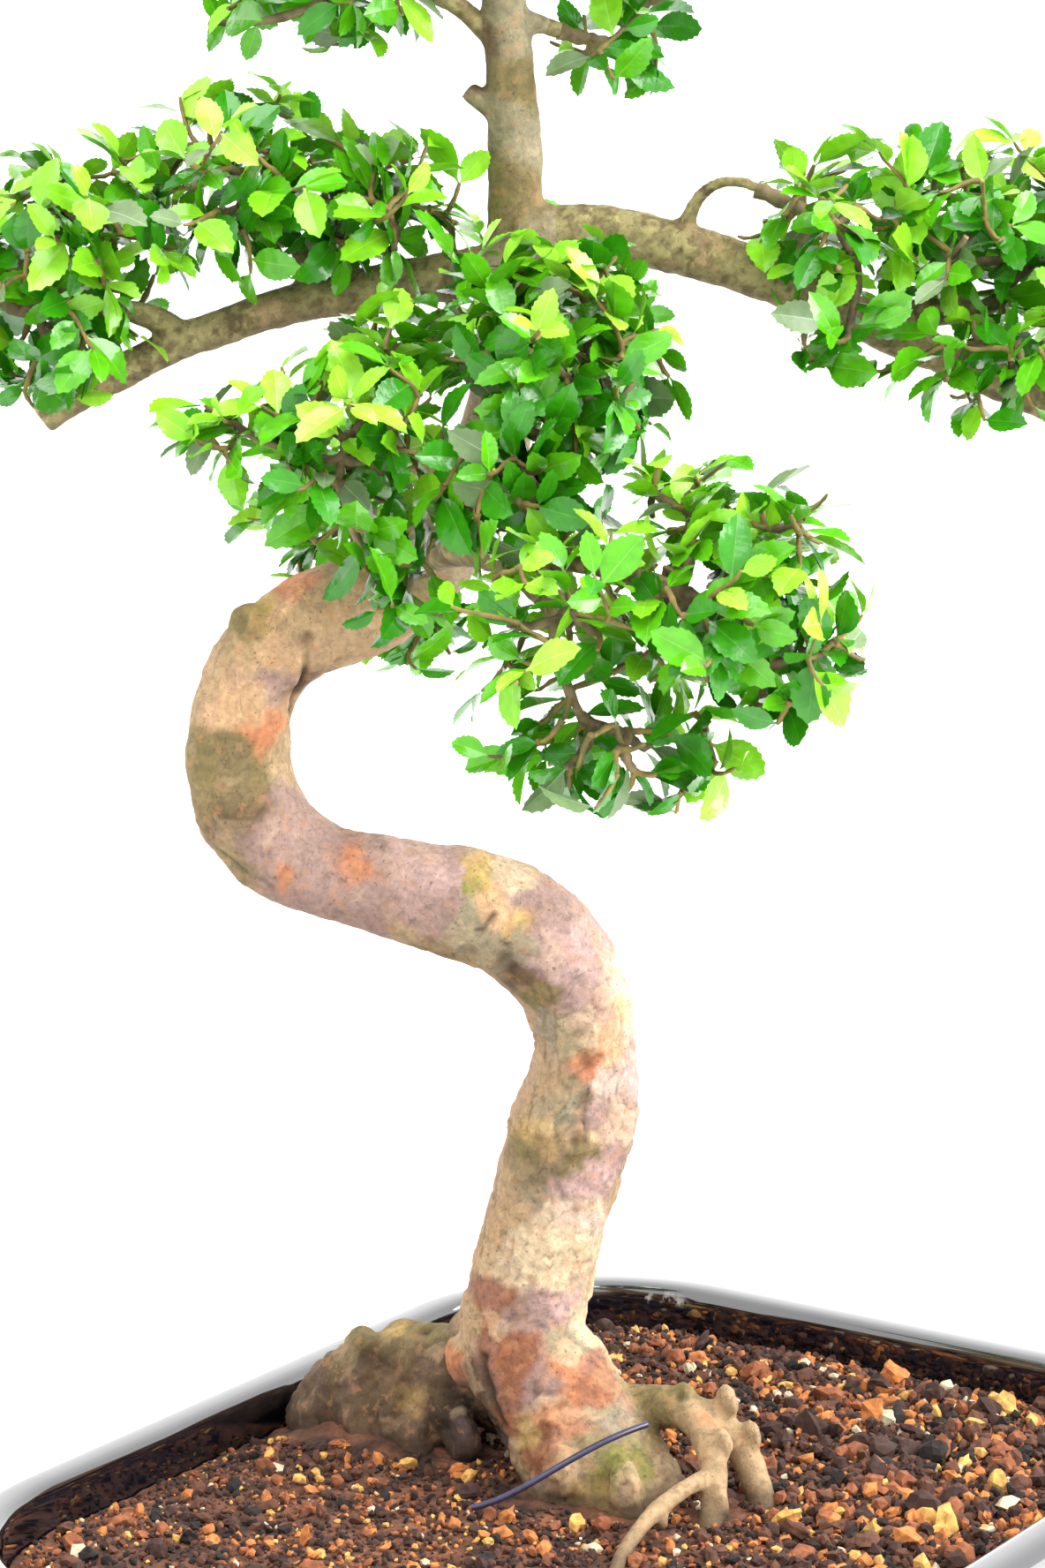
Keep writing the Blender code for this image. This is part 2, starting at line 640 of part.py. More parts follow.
class Growth:
    """The twigs and leaves of one mass, as pieces for one union."""

    def __init__(self, name, stem, limbs, leaf, work):
        self.name = name
        self.limbs = limbs
        self.leaf = leaf
        self.work = work
        self.nodes = []
        self.twigs = []
        self.shoots = []
        self.spots = []
        self.rng = random.Random(SEED + list(MASSES).index(name))
        for start, end in zip(stem, stem[1:]):
            self.add_twig(start, end, STEM_RADIUS, STEM_RADIUS)

    def jitter(self, size):
        return Vector([self.rng.uniform(-size, size) for _ in range(3)])

    def add_twig(self, start, end, radius, tip_radius):
        """A three-sided twig, and the places where others may leave it."""
        along = end - start
        middle = start + along / 2
        turn = along.to_track_quat("Z", "Y").to_matrix().to_4x4()
        bm = bmesh.new()
        bmesh.ops.create_cone(
            bm, cap_ends=True, segments=3, radius1=radius, radius2=tip_radius,
            depth=along.length, matrix=Matrix.Translation(middle) @ turn)
        add_object("twig", mesh_of("twig", bm), self.work)
        self.twigs.append(((start, end), (radius, tip_radius)))
        count = max(1, round(along.length / TWIG_SPACING))
        for step in range(1, count + 1):
            self.nodes.append(start.lerp(end, step / count))

    def add_shoot(self, end):
        """A twig from the nearest grown place to the end, where it has room."""
        node = min(self.nodes, key=lambda place: (place - end).length)
        if (end - node).length < SHORTEST_TWIG:
            return
        spots = spots_between(node, end, 8)[1:]
        if not in_own_space(self.name, spots, 1.0):
            return
        if not self.limbs.clear(spots, LIMB_CLEARANCE + TWIG_RADIUS):
            return
        self.add_twig(node, end, TWIG_RADIUS, TWIG_TIP_RADIUS)
        self.shoots.append(self.twigs[-1])

    def fits(self, spots, own_twig):
        """True where a leaf has room: in its space, off limbs, twigs, leaves."""
        if not in_own_space(self.name, spots, LEAF_SKIN):
            return False
        if not self.limbs.clear(spots, LIMB_CLEARANCE):
            return False
        others = [twig for twig in self.twigs if twig is not own_twig]
        if not Bars(others).clear(spots, TWIG_CLEARANCE):
            return False
        if not self.spots:
            return True
        grown = np.concatenate(self.spots)
        apart = np.sqrt(((spots[:, None, :] - grown) ** 2).sum(axis=2))
        return bool((apart > LEAF_APART).all())

    def add_leaf(self, root, twig_along, side, own_twig):
        """Tries some lies for one leaf, and skips it where none has room."""
        upright = Vector((0.0, 0.0, 1.0))
        across = twig_along.cross(upright)
        if across.length < UPRIGHT_TWIG:
            turn = root.x * UPRIGHT_TURNS
            across = Vector((math.cos(turn), math.sin(turn), 0.0))
        across = across.normalized() * side
        for _ in range(LEAF_TRIES):
            spread = LEAF_SPREAD * self.rng.uniform(*SPREAD_RANGE)
            along = twig_along * math.cos(spread) + across * math.sin(spread)
            along = (along + upright * self.rng.uniform(*LEAF_LIFT)).normalized()
            length = LEAF_LENGTH * self.rng.uniform(*LENGTH_RANGE)
            frame = leaf_frame(root, along, upright + self.jitter(LEAF_TILT), length)
            spots = leaf_spots(frame)
            if self.fits(spots, own_twig):
                add_object("leaf", self.leaf, self.work).matrix_world = frame
                self.spots.append(spots)
                return

    def add_leaves(self, twig):
        """Leaves along one shoot, side after side, and one at its end."""
        start, end = twig[0]
        along = (end - start).normalized()
        for place in range(LEAVES_PER_SHOOT - 1):
            share = FIRST_LEAF + LEAFY_SHARE * place / (LEAVES_PER_SHOOT - 1)
            root = start.lerp(end, share)
            self.add_leaf(root, along, 1 if place % 2 else -1, twig)
        side = self.rng.uniform(-END_LEAF_SIDE, END_LEAF_SIDE)
        self.add_leaf(end - along * END_LEAF_SINK, along, side, twig)


def stem_points(mass, paths):
    """From just off the bough's tip, along it, then to the mass's heart."""
    points, _ = paths[mass.bough]
    heading = (points[-1] - points[-2]).normalized()
    start = points[-1] + heading * GAP
    heart = Vector(mass.lobes[0].centre)
    knee = start + heading * STEM_KNEE
    return start, knee, heart


def add_mass(name, stem, limbs, leaf, leaf_goal, parts, work, tree):
    """One mass: shoots from a stem to the ends spread through its lobes."""
    mass = MASSES[name]
    growth = Growth(name, stem, limbs, leaf, work)
    sizes = [np.prod(lobe.radii) ** (2 / 3) for lobe in mass.lobes]
    shoots = leaf_goal / LEAVES_PER_SHOOT
    ends = []
    for lobe, size in zip(mass.lobes, sizes):
        count = max(2, round(shoots * size / sum(sizes)))
        ends.extend(shoot_ends(lobe, count, growth.rng))
    ends.sort(key=lambda place: (place - stem[0]).length)
    for end in ends:
        growth.add_shoot(end)
    for twig in growth.shoots:
        growth.add_leaves(twig)
    base = work.objects[0]
    work.objects.unlink(base)
    parts.objects.link(base)
    mesh = keep_largest_body(combined(base, "UNION", work))
    made = add_object(name, mesh, parts, LEAF_GREEN)
    made.parent = tree
    return len(growth.spots)


def add_foliage(parts, work, tree, paths):
    stems = {name: stem_points(mass, paths) for name, mass in MASSES.items()}
    leaf = leaf_mesh()
    weights = {
        name: mass.share * sum(np.prod(lobe.radii) ** (2 / 3) for lobe in mass.lobes)
        for name, mass in MASSES.items()
    }
    for name in MASSES:
        others = [
            (list(stem), [STEM_RADIUS + GAP] * len(stem))
            for other, stem in stems.items() if other != name
        ]
        limbs = Bars(list(paths.values()) + others)
        leaf_goal = LEAVES_IN_ALL * weights[name] / sum(weights.values())
        count = add_mass(name, stems[name], limbs, leaf, leaf_goal, parts, work, tree)
        print(name, count, "leaves")


def add_tie_wire(parts, tree):
    points = interpolate_bezier(*[Vector(place) for place in WIRE_ROUTE], WIRE_STEPS)
    path = (points, [WIRE_RADIUS] * len(points))
    wire = add_object("tie_wire", tube_mesh("tie_wire", path, LIMB_SIDES), parts, WIRE_COAT)
    wire.parent = tree


def main():
    remove_objects(bpy.data.objects)
    parts = new_collection("bonsai_tree")
    cutters = new_collection("cutters")
    work = new_collection("work")
    tree = bpy.data.objects.new("tree_frame", None)
    parts.objects.link(tree)
    tree.location = (0.0, 0.0, SOIL_TOP)
    tree.rotation_euler = (0.0, 0.0, TREE_TURN)

    add_pot(parts, cutters)
    add_soil(parts)
    add_trunk(parts, work, tree)
    paths = {"trunk": trunk_path()}
    for name, (parent, limb) in BOUGHS.items():
        sides = TRUNK_SIDES if parent == "trunk" else LIMB_SIDES
        add_bough(name, paths[parent], sides, limb, parts, work, tree)
        paths[name] = limb_path(limb)
    add_tie_wire(parts, tree)
    add_foliage(parts, work, tree, paths)
    bpy.data.collections.remove(work)


main()
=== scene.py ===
# %% [markdown]
# # A bonsai tree in a glazed pot
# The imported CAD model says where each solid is. This lesson dresses it: the
# same trunk, boughs and masses of foliage, made again with bark, twigs,
# leaves, grit and glaze. Nothing here moves the CAD solids.

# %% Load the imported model
import math
import random
from collections import namedtuple

import bmesh
import bpy
import numpy as np
from mathutils import Matrix, Vector, noise
from mathutils.geometry import interpolate_bezier


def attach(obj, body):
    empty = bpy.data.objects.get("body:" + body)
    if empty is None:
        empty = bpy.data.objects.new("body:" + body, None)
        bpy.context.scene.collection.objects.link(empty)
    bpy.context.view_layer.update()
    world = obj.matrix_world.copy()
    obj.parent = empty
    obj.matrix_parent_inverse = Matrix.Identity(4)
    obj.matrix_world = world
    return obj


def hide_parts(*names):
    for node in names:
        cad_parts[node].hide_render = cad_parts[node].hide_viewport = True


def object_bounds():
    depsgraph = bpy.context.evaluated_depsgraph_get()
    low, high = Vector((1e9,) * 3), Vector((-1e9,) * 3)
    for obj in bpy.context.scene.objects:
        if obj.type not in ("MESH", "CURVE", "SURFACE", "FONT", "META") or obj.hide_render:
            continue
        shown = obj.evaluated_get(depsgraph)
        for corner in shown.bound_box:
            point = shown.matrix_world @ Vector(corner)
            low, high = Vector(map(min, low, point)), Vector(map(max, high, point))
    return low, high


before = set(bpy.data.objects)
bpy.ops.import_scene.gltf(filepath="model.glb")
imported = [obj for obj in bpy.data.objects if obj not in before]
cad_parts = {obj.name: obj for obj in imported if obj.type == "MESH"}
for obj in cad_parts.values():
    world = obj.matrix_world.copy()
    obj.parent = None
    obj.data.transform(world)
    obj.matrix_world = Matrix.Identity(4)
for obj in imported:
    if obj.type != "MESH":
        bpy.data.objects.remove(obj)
cad_low, cad_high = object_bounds()
print("CAD box", [round(v, 4) for v in cad_low], [round(v, 4) for v in cad_high])

# %% [markdown]
# ## Camera
# The camera stands where the four runs of the pot's rim say that it stood: a
# little above the pot, looking down by eleven degrees, with a long lens that
# keeps the trunk's lines straight.

# %% Camera
camera_data = bpy.data.cameras.new("camera")
camera_data.sensor_fit = "VERTICAL"
camera_data.sensor_height = 36.0
camera_data.lens = 100.0
camera = bpy.data.objects.new("camera", camera_data)
camera.location = (-0.7241, -0.4746, 0.393)
camera.rotation_euler = (math.radians(78.78), 0.0, math.radians(-55.77))
bpy.context.scene.collection.objects.link(camera)
bpy.context.scene.camera = camera
print("camera at", [round(v, 3) for v in camera.location])

# %% [markdown]
# ## Light and floor
# A white studio is a bright sky all round, one large soft light from the
# right and one from above, and a pale floor. The backdrop is brighter than
# white paper, so it burns out, and the gloss on leaves and glaze picks it up.

# %% Light and floor
BACKDROP = 1.9
LIGHTS = {
    "right_softbox": ((0.60, -1.30, 1.00), 1.1, 52.0),
    "top_softbox": ((-0.45, -0.25, 1.60), 1.0, 20.0),
}


def linear(hex_colour):
    """An sRGB hex colour as linear red, green, blue and alpha."""
    parts = [int(hex_colour[i:i + 2], 16) / 255 for i in (1, 3, 5)]
    return tuple(
        c / 12.92 if c <= 0.04045 else ((c + 0.055) / 1.055) ** 2.4 for c in parts
    ) + (1.0,)


def add_node(tree, kind, links=None, **settings):
    """Adds a node. Links name its inputs; settings are properties or inputs."""
    node = tree.nodes.new(kind)
    for name, value in settings.items():
        if name in node.bl_rna.properties:
            setattr(node, name, value)
        else:
            node.inputs[name.replace("_", " ")].default_value = value
    for name, source in (links or {}).items():
        tree.links.new(source, node.inputs[name])
    return node


bpy.context.scene.view_settings.view_transform = "Standard"
world = bpy.data.worlds.new("white_studio")
world.use_nodes = True
world.node_tree.nodes["Background"].inputs["Color"].default_value = (1, 1, 1, 1)
world.node_tree.nodes["Background"].inputs["Strength"].default_value = BACKDROP
bpy.context.scene.world = world
for name, (place, size, power) in LIGHTS.items():
    light = bpy.data.lights.new(name, "AREA")
    light.size = size
    light.energy = power
    lamp = bpy.data.objects.new(name, light)
    lamp.location = place
    aim = Vector((0.0, 0.0, 0.25)) - Vector(place)
    lamp.rotation_euler = aim.to_track_quat("-Z", "Y").to_euler()
    bpy.context.scene.collection.objects.link(lamp)

bm = bmesh.new()
bmesh.ops.create_grid(bm, x_segments=1, y_segments=1, size=4.0)
floor_mesh = bpy.data.meshes.new("floor")
bm.to_mesh(floor_mesh)
bm.free()
paper = bpy.data.materials.new("white_paper")
paper.use_nodes = True
paper.node_tree.nodes["Principled BSDF"].inputs["Base Color"].default_value = linear("#F2F2F0")
paper.node_tree.nodes["Principled BSDF"].inputs["Roughness"].default_value = 0.9
floor_mesh.materials.append(paper)
floor = bpy.data.objects.new("floor", floor_mesh)
bpy.context.scene.collection.objects.link(floor)
print(len(LIGHTS), "soft lights and a backdrop")

# %% [markdown]
# ## The tree's own frame
# The tree was modelled in a frame that stands on the soil, with X to the
# right and Y to the back as the tree is shown. That frame is turned in the
# pot. The tables here are the ones that the CAD solids were made from, so
# each new piece grows in the place of its solid.

# %% The trunk's and limbs' tables
SOIL_TOP = 0.070
TREE_TURN = math.radians(-55.77)
TREE = Matrix.Translation((0.0, 0.0, SOIL_TOP)) @ Matrix.Rotation(TREE_TURN, 4, "Z")

TRUNK_FOOT = (0.0099, 0.0055, -0.0135)
TRUNK_FOOT_LEAN = -32.0
TRUNK_FOOT_THICKNESS = 0.0318
TRUNK_STEP = 0.008
# Length, lean at the end, place in depth there and thickness there
TRUNK_STRETCHES = (
    (0.0445, -33.0, 0.0210, 0.0275),
    (0.0055, 10.5, 0.0235, 0.0266),
    (0.0243, 14.0, 0.0240, 0.0250),
    (0.0212, 17.5, 0.0240, 0.0270),
    (0.0182, -1.5, 0.0240, 0.0205),
    (0.0243, -47.5, 0.0240, 0.0248),
    (0.0185, -78.5, 0.0235, 0.0238),
    (0.0293, -74.5, 0.0230, 0.0192),
    (0.0188, -26.5, 0.0225, 0.0228),
    (0.0273, 21.0, 0.0225, 0.0200),
    (0.0246, 77.0, 0.0230, 0.0216),
    (0.0314, 30.5, 0.0240, 0.0167),
    (0.0408, 4.0, 0.0240, 0.0136),
    (0.0646, -6.0, 0.0240, 0.0092),
    (0.0324, 5.5, 0.0225, 0.0080),
    (0.0305, 9.5, 0.0210, 0.0060),
)

Limb = namedtuple("Limb", "foot bend_a bend_b tip thick thin")
ROOTS = {
    "left_leg": Limb(
        (-0.018, 0.029, 0.034), (-0.025, 0.038, 0.022),
        (-0.030, 0.046, 0.010), (-0.032, 0.049, -0.006), 0.0140, 0.0125),
    "hump": Limb(
        (-0.014, 0.034, 0.012), (-0.032, 0.041, 0.0130),
        (-0.050, 0.050, 0.0140), (-0.060, 0.056, -0.006), 0.0225, 0.0180),
    "right_root": Limb(
        (0.000, 0.018, 0.012), (0.014, 0.015, 0.016),
        (0.032, 0.008, 0.019), (0.0355, -0.002, -0.004), 0.0085, 0.0062),
    "knee_root": Limb(
        (0.012, 0.014, 0.0125), (0.023, 0.009, 0.018),
        (0.028, -0.006, 0.010), (0.023, -0.015, -0.004), 0.0075, 0.0050),
    "thin_root": Limb(
        (0.0255, -0.005, 0.0060), (0.016, -0.016, 0.0065),
        (0.007, -0.026, 0.0030), (0.003, -0.043, -0.0025), 0.0042, 0.0032),
}
STUB = Limb(
    (-0.018, 0.024, 0.283), (-0.021, 0.024, 0.286),
    (-0.0235, 0.024, 0.287), (-0.0260, 0.0235, 0.2895), 0.0050, 0.0042)
KNOB = Limb(
    (-0.0705, 0.0180, 0.1800), (-0.0712, 0.0174, 0.1803),
    (-0.0720, 0.0168, 0.1807), (-0.0728, 0.0160, 0.1810), 0.0118, 0.0080)
LEFT_BOUGH = Limb(
    (-0.016, 0.024, 0.254), (-0.040, 0.021, 0.2500),
    (-0.075, 0.017, 0.2495), (-0.112, 0.012, 0.2240), 0.0098, 0.0068)
RIGHT_BOUGH = Limb(
    (-0.016, 0.024, 0.260), (0.022, 0.023, 0.2655),
    (0.052, 0.020, 0.2405), (0.107, 0.018, 0.2215), 0.0116, 0.0072)
BOUGHS = {
    "left_bough": LEFT_BOUGH,
    "left_side_limb": Limb(
        (-0.084, 0.0152, 0.2395), (-0.088, 0.012, 0.2470),
        (-0.102, 0.010, 0.2480), (-0.114, 0.008, 0.2460), 0.0050, 0.0036),
    "left_riser": Limb(
        (-0.058, 0.0188, 0.2480), (-0.058, 0.021, 0.2540),
        (-0.061, 0.024, 0.2590), (-0.064, 0.026, 0.2630), 0.0042, 0.0032),
    "right_bough": RIGHT_BOUGH,
    "right_fork": Limb(
        (0.052, 0.0205, 0.2430), (0.068, 0.024, 0.2430),
        (0.084, 0.034, 0.2470), (0.096, 0.040, 0.2480), 0.0066, 0.0042),
    "right_riser": Limb(
        (0.018, 0.0225, 0.2600), (0.019, 0.021, 0.2700),
        (0.026, 0.017, 0.2745), (0.0335, 0.013, 0.2695), 0.0028, 0.0022),
    "front_bough": Limb(
        (-0.037, 0.0235, 0.192), (-0.031, -0.002, 0.204),
        (-0.016, -0.026, 0.203), (-0.007, -0.041, 0.192), 0.0086, 0.0054),
    "front_fork": Limb(
        (-0.0195, -0.0190, 0.2005), (-0.008, -0.033, 0.203),
        (0.006, -0.042, 0.201), (0.014, -0.046, 0.198), 0.0046, 0.0036),
    "centre_bough": Limb(
        (-0.0195, 0.024, 0.223), (-0.018, 0.010, 0.230),
        (-0.012, -0.004, 0.231), (-0.007, -0.014, 0.232), 0.0060, 0.0042),
    "front_left_bough": Limb(
        (-0.025, 0.024, 0.207), (-0.036, 0.008, 0.217),
        (-0.042, -0.004, 0.221), (-0.048, -0.013, 0.223), 0.0060, 0.0042),
    "back_low_bough": Limb(
        (-0.054, 0.023, 0.184), (-0.056, 0.042, 0.191),
        (-0.052, 0.054, 0.187), (-0.050, 0.062, 0.188), 0.0066, 0.0044),
    "back_bough": Limb(
        (-0.0172, 0.024, 0.237), (-0.018, 0.042, 0.245),
        (-0.014, 0.054, 0.242), (-0.012, 0.062, 0.241), 0.0066, 0.0044),
    "upper_left_bough": Limb(
        (-0.0170, 0.024, 0.294), (-0.024, 0.024, 0.305),
        (-0.030, 0.023, 0.308), (-0.036, 0.022, 0.309), 0.0046, 0.0034),
    "upper_right_bough": Limb(
        (-0.0180, 0.024, 0.3025), (-0.012, 0.0255, 0.3035),
        (-0.009, 0.027, 0.3015), (-0.006, 0.0275, 0.3005), 0.0042, 0.0030),
    "upper_back_bough": Limb(
        (-0.0185, 0.0238, 0.316), (-0.018, 0.034, 0.327),
        (-0.019, 0.041, 0.329), (-0.019, 0.047, 0.330), 0.0044, 0.0032),
    "upper_front_bough": Limb(
        (-0.0185, 0.0235, 0.323), (-0.016, 0.013, 0.334),
        (-0.015, 0.005, 0.336), (-0.014, -0.001, 0.337), 0.0042, 0.0030),
    "high_right_bough": Limb(
        (-0.0175, 0.0225, 0.334), (-0.007, 0.022, 0.342),
        (0.001, 0.022, 0.344), (0.007, 0.022, 0.345), 0.0040, 0.0030),
    "high_left_bough": Limb(
        (-0.0165, 0.0220, 0.345), (-0.024, 0.021, 0.351),
        (-0.029, 0.020, 0.353), (-0.034, 0.020, 0.354), 0.0036, 0.0028),
}
print(len(BOUGHS), "boughs and", len(ROOTS), "roots")

# %% [markdown]
# A mass of foliage keeps to a few lobes, each a centre and three half
# widths. Its stem leaves the tip of one bough, and a share says how full of
# leaves it is beside the others.

# %% The masses' table
Mass = namedtuple("Mass", "bough share lobes")
Lobe = namedtuple("Lobe", "centre radii")
MASSES = {
    "left_inner_foliage": Mass("left_riser", 1.0, (
        Lobe((-0.072, 0.012, 0.2720), (0.022, 0.026, 0.0190)),
        Lobe((-0.044, 0.015, 0.2655), (0.020, 0.020, 0.0160)))),
    "left_outer_foliage": Mass("left_side_limb", 1.0, (
        Lobe((-0.127, 0.014, 0.2550), (0.018, 0.022, 0.0160)),
        Lobe((-0.104, 0.010, 0.2570), (0.022, 0.028, 0.0220)),
        Lobe((-0.112, 0.004, 0.2345), (0.012, 0.012, 0.0090)))),
    "right_inner_foliage": Mass("right_riser", 1.0, (
        Lobe((0.048, 0.012, 0.2630), (0.018, 0.024, 0.0170)),
        Lobe((0.047, 0.000, 0.2405), (0.009, 0.012, 0.0070)))),
    "right_outer_foliage": Mass("right_fork", 1.0, (
        Lobe((0.104, 0.034, 0.2560), (0.022, 0.026, 0.0200)),
        Lobe((0.076, 0.024, 0.2610), (0.022, 0.028, 0.0200)))),
    "right_tip_foliage": Mass("right_bough", 1.3, (
        Lobe((0.114, 0.012, 0.2310), (0.018, 0.022, 0.0150)),
        Lobe((0.080, 0.008, 0.2360), (0.024, 0.018, 0.0115)))),
    "front_low_foliage": Mass("front_bough", 1.3, (
        Lobe((-0.007, -0.048, 0.1930), (0.022, 0.020, 0.0185)),
        Lobe((0.003, -0.047, 0.1675), (0.024, 0.018, 0.0125)))),
    "front_right_foliage": Mass("front_fork", 1.3, (
        Lobe((0.0235, -0.050, 0.1945), (0.0215, 0.021, 0.0185)),
        Lobe((0.0415, -0.053, 0.1885), (0.0110, 0.012, 0.0085)),
        Lobe((0.0350, -0.046, 0.2100), (0.0110, 0.011, 0.0095)),
        Lobe((0.0160, -0.037, 0.2150), (0.0115, 0.011, 0.0110)),
        Lobe((0.0345, -0.050, 0.1765), (0.0105, 0.011, 0.0065)))),
    "centre_foliage": Mass("centre_bough", 1.4, (
        Lobe((-0.010, -0.016, 0.2350), (0.0185, 0.020, 0.0200)),
        Lobe((-0.018, -0.030, 0.2140), (0.020, 0.016, 0.0150)),
        Lobe((0.0045, -0.012, 0.2320), (0.0115, 0.013, 0.0160)),
        Lobe((-0.002, -0.004, 0.2530), (0.011, 0.012, 0.0110)),
        Lobe((-0.0185, -0.004, 0.2530), (0.0105, 0.010, 0.0100)))),
    "front_left_foliage": Mass("front_left_bough", 1.4, (
        Lobe((-0.049, -0.026, 0.2235), (0.0195, 0.020, 0.0170)),
        Lobe((-0.0735, -0.028, 0.2265), (0.0115, 0.012, 0.0075)),
        Lobe((-0.0390, -0.030, 0.1975), (0.0110, 0.011, 0.0110)),
        Lobe((-0.0400, -0.004, 0.2400), (0.0135, 0.012, 0.0105)))),
    "back_low_foliage": Mass("back_low_bough", 0.9, (
        Lobe((-0.052, 0.077, 0.1930), (0.022, 0.022, 0.0230)),
        Lobe((-0.038, 0.072, 0.1700), (0.014, 0.014, 0.0080)))),
    "back_foliage": Mass("back_bough", 1.0, (
        Lobe((-0.012, 0.084, 0.2380), (0.025, 0.026, 0.0200)),)),
    "upper_left_foliage": Mass("upper_left_bough", 1.0, (
        Lobe((-0.049, 0.022, 0.3135), (0.0180, 0.022, 0.0155)),
        Lobe((-0.073, 0.019, 0.3050), (0.0080, 0.010, 0.0080)))),
    "upper_right_foliage": Mass("upper_right_bough", 0.8, (
        Lobe((0.003, 0.030, 0.2985), (0.0130, 0.017, 0.0100)),
        Lobe((0.013, 0.030, 0.3080), (0.0095, 0.014, 0.0085)))),
    "upper_back_foliage": Mass("upper_back_bough", 1.0, (
        Lobe((-0.019, 0.068, 0.3360), (0.029, 0.026, 0.0210)),)),
    "upper_front_foliage": Mass("upper_front_bough", 1.0, (
        Lobe((-0.014, -0.023, 0.3420), (0.027, 0.025, 0.0200)),)),
    "high_right_foliage": Mass("high_right_bough", 1.0, (
        Lobe((0.027, 0.022, 0.3490), (0.025, 0.027, 0.0190)),)),
    "high_left_foliage": Mass("high_left_bough", 1.0, (
        Lobe((-0.056, 0.020, 0.3560), (0.024, 0.026, 0.0180)),)),
    "apex_foliage": Mass("trunk", 0.8, (
        Lobe((-0.010, 0.020, 0.3880), (0.035, 0.033, 0.0240)),
        Lobe((-0.006, 0.020, 0.4110), (0.021, 0.021, 0.0140)))),
}
print(len(MASSES), "masses of foliage")

# %% [markdown]
# ## Helpers for pieces and materials
# A finished piece's object stays at the origin with its place in its mesh.
# These helpers put a mesh in the scene, name its material, and say which
# body it rides on and which CAD solids it stands for.

# %% Helpers for pieces and materials
def material(name, **inputs):
    """A principled material with values on the shader's own sockets."""
    made = bpy.data.materials.new(name)
    made.use_nodes = True
    shader = made.node_tree.nodes["Principled BSDF"]
    for socket, value in inputs.items():
        shader.inputs[socket.replace("_", " ")].default_value = value
    return made, made.node_tree, shader


def add_bump(tree, shader, height, strength, distance):
    """Sends a height through a bump node to the shader's normal."""
    bump = add_node(tree, "ShaderNodeBump", {"Height": height},
                    Strength=strength, Distance=distance)
    tree.links.new(bump.outputs["Normal"], shader.inputs["Normal"])


def add_piece(name, mesh, materials, nodes):
    """Puts a finished mesh in the scene as a piece of the object."""
    piece = bpy.data.objects.new(name, mesh)
    bpy.context.scene.collection.objects.link(piece)
    kinds = np.zeros(len(mesh.polygons), int)
    mesh.polygons.foreach_get("material_index", kinds)
    mesh.materials.clear()
    for one in materials:
        mesh.materials.append(one)
    mesh.polygons.foreach_set("material_index", np.minimum(kinds, len(materials) - 1))
    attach(piece, "root")
    if nodes:
        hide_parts(*nodes)
    mesh.calc_loop_triangles()
    print(name, len(mesh.loop_triangles), "triangles")
    return piece


def mesh_from(name, bm, smooth_angle=None):
    """The bmesh as a mesh, smooth but for edges sharper than the angle."""
    mesh = bpy.data.meshes.new(name)
    bm.to_mesh(mesh)
    bm.free()
    if smooth_angle is not None:
        mesh.shade_smooth()
        mesh.set_sharp_from_angle(angle=math.radians(smooth_angle))
    return mesh


def evaluated_mesh(made):
    """The object's mesh with its modifiers applied; the object goes."""
    bpy.context.view_layer.update()
    graph = bpy.context.evaluated_depsgraph_get()
    mesh = bpy.data.meshes.new_from_object(made.evaluated_get(graph))
    bpy.data.objects.remove(made)
    return mesh


def work_object(name, data):
    made = bpy.data.objects.new(name, data)
    bpy.context.scene.collection.objects.link(made)
    return made


# %% [markdown]
# ## The pot
# A slip-cast stoneware pot, dipped in a black glaze. Its section is drawn
# once, from the foot up the outside, over the rim and down the inside, and
# a ring is laid at each point of the section. Bridging ring to ring gives
# the wall. Each corner of the section that a potter's sponge would round is
# rounded by a few close points of the section, so that the rim catches a
# long highlight.

# %% The pot's shape
POT_LENGTH = 0.250
POT_WIDTH = 0.197
POT_HEIGHT = 0.075
POT_CORNER = 0.056
CORNER_STEPS = 24
SIDE_STEPS = 6
HOLE_RADIUS = 0.011
HOLE_SPACING = 0.110
# How far in from the outline, and how high, from the foot round to the floor
POT_SECTION = (
    (0.0150, 0.0000), (0.0137, 0.0006), (0.0133, 0.0018), (0.0105, 0.0140),
    (0.0070, 0.0380), (0.0046, 0.0580), (0.0042, 0.0640), (0.0038, 0.0658),
    (0.0026, 0.0667), (0.0010, 0.0672), (0.0002, 0.0680), (0.0000, 0.0692),
    (0.0000, 0.0716), (0.0003, 0.0729), (0.0011, 0.0740), (0.0024, 0.0747),
    (0.0042, 0.0750), (0.0068, 0.0749), (0.0084, 0.0746), (0.0093, 0.0740),
    (0.0097, 0.0729), (0.0099, 0.0710), (0.0101, 0.0620), (0.0125, 0.0380),
    (0.0155, 0.0150), (0.0172, 0.0112), (0.0200, 0.0088), (0.0240, 0.0080),
)


def rounded_outline(inset):
    """Points round the pot's outline, set in by a distance."""
    half_x = POT_LENGTH / 2 - inset
    half_y = POT_WIDTH / 2 - inset
    radius = POT_CORNER - inset
    points = []
    for index, (side_x, side_y) in enumerate(((1, 1), (-1, 1), (-1, -1), (1, -1))):
        for step in range(CORNER_STEPS + 1):
            angle = math.pi / 2 * (index + step / CORNER_STEPS)
            points.append(Vector((
                side_x * (half_x - radius) + radius * math.cos(angle),
                side_y * (half_y - radius) + radius * math.sin(angle))))
        after = ((-1, 1), (-1, -1), (1, -1), (1, 1))[index]
        angle = math.pi / 2 * (index + 1)
        start = points[-1]
        end = Vector((
            after[0] * (half_x - radius) + radius * math.cos(angle),
            after[1] * (half_y - radius) + radius * math.sin(angle)))
        points.extend(start.lerp(end, s / SIDE_STEPS) for s in range(1, SIDE_STEPS))
    return points


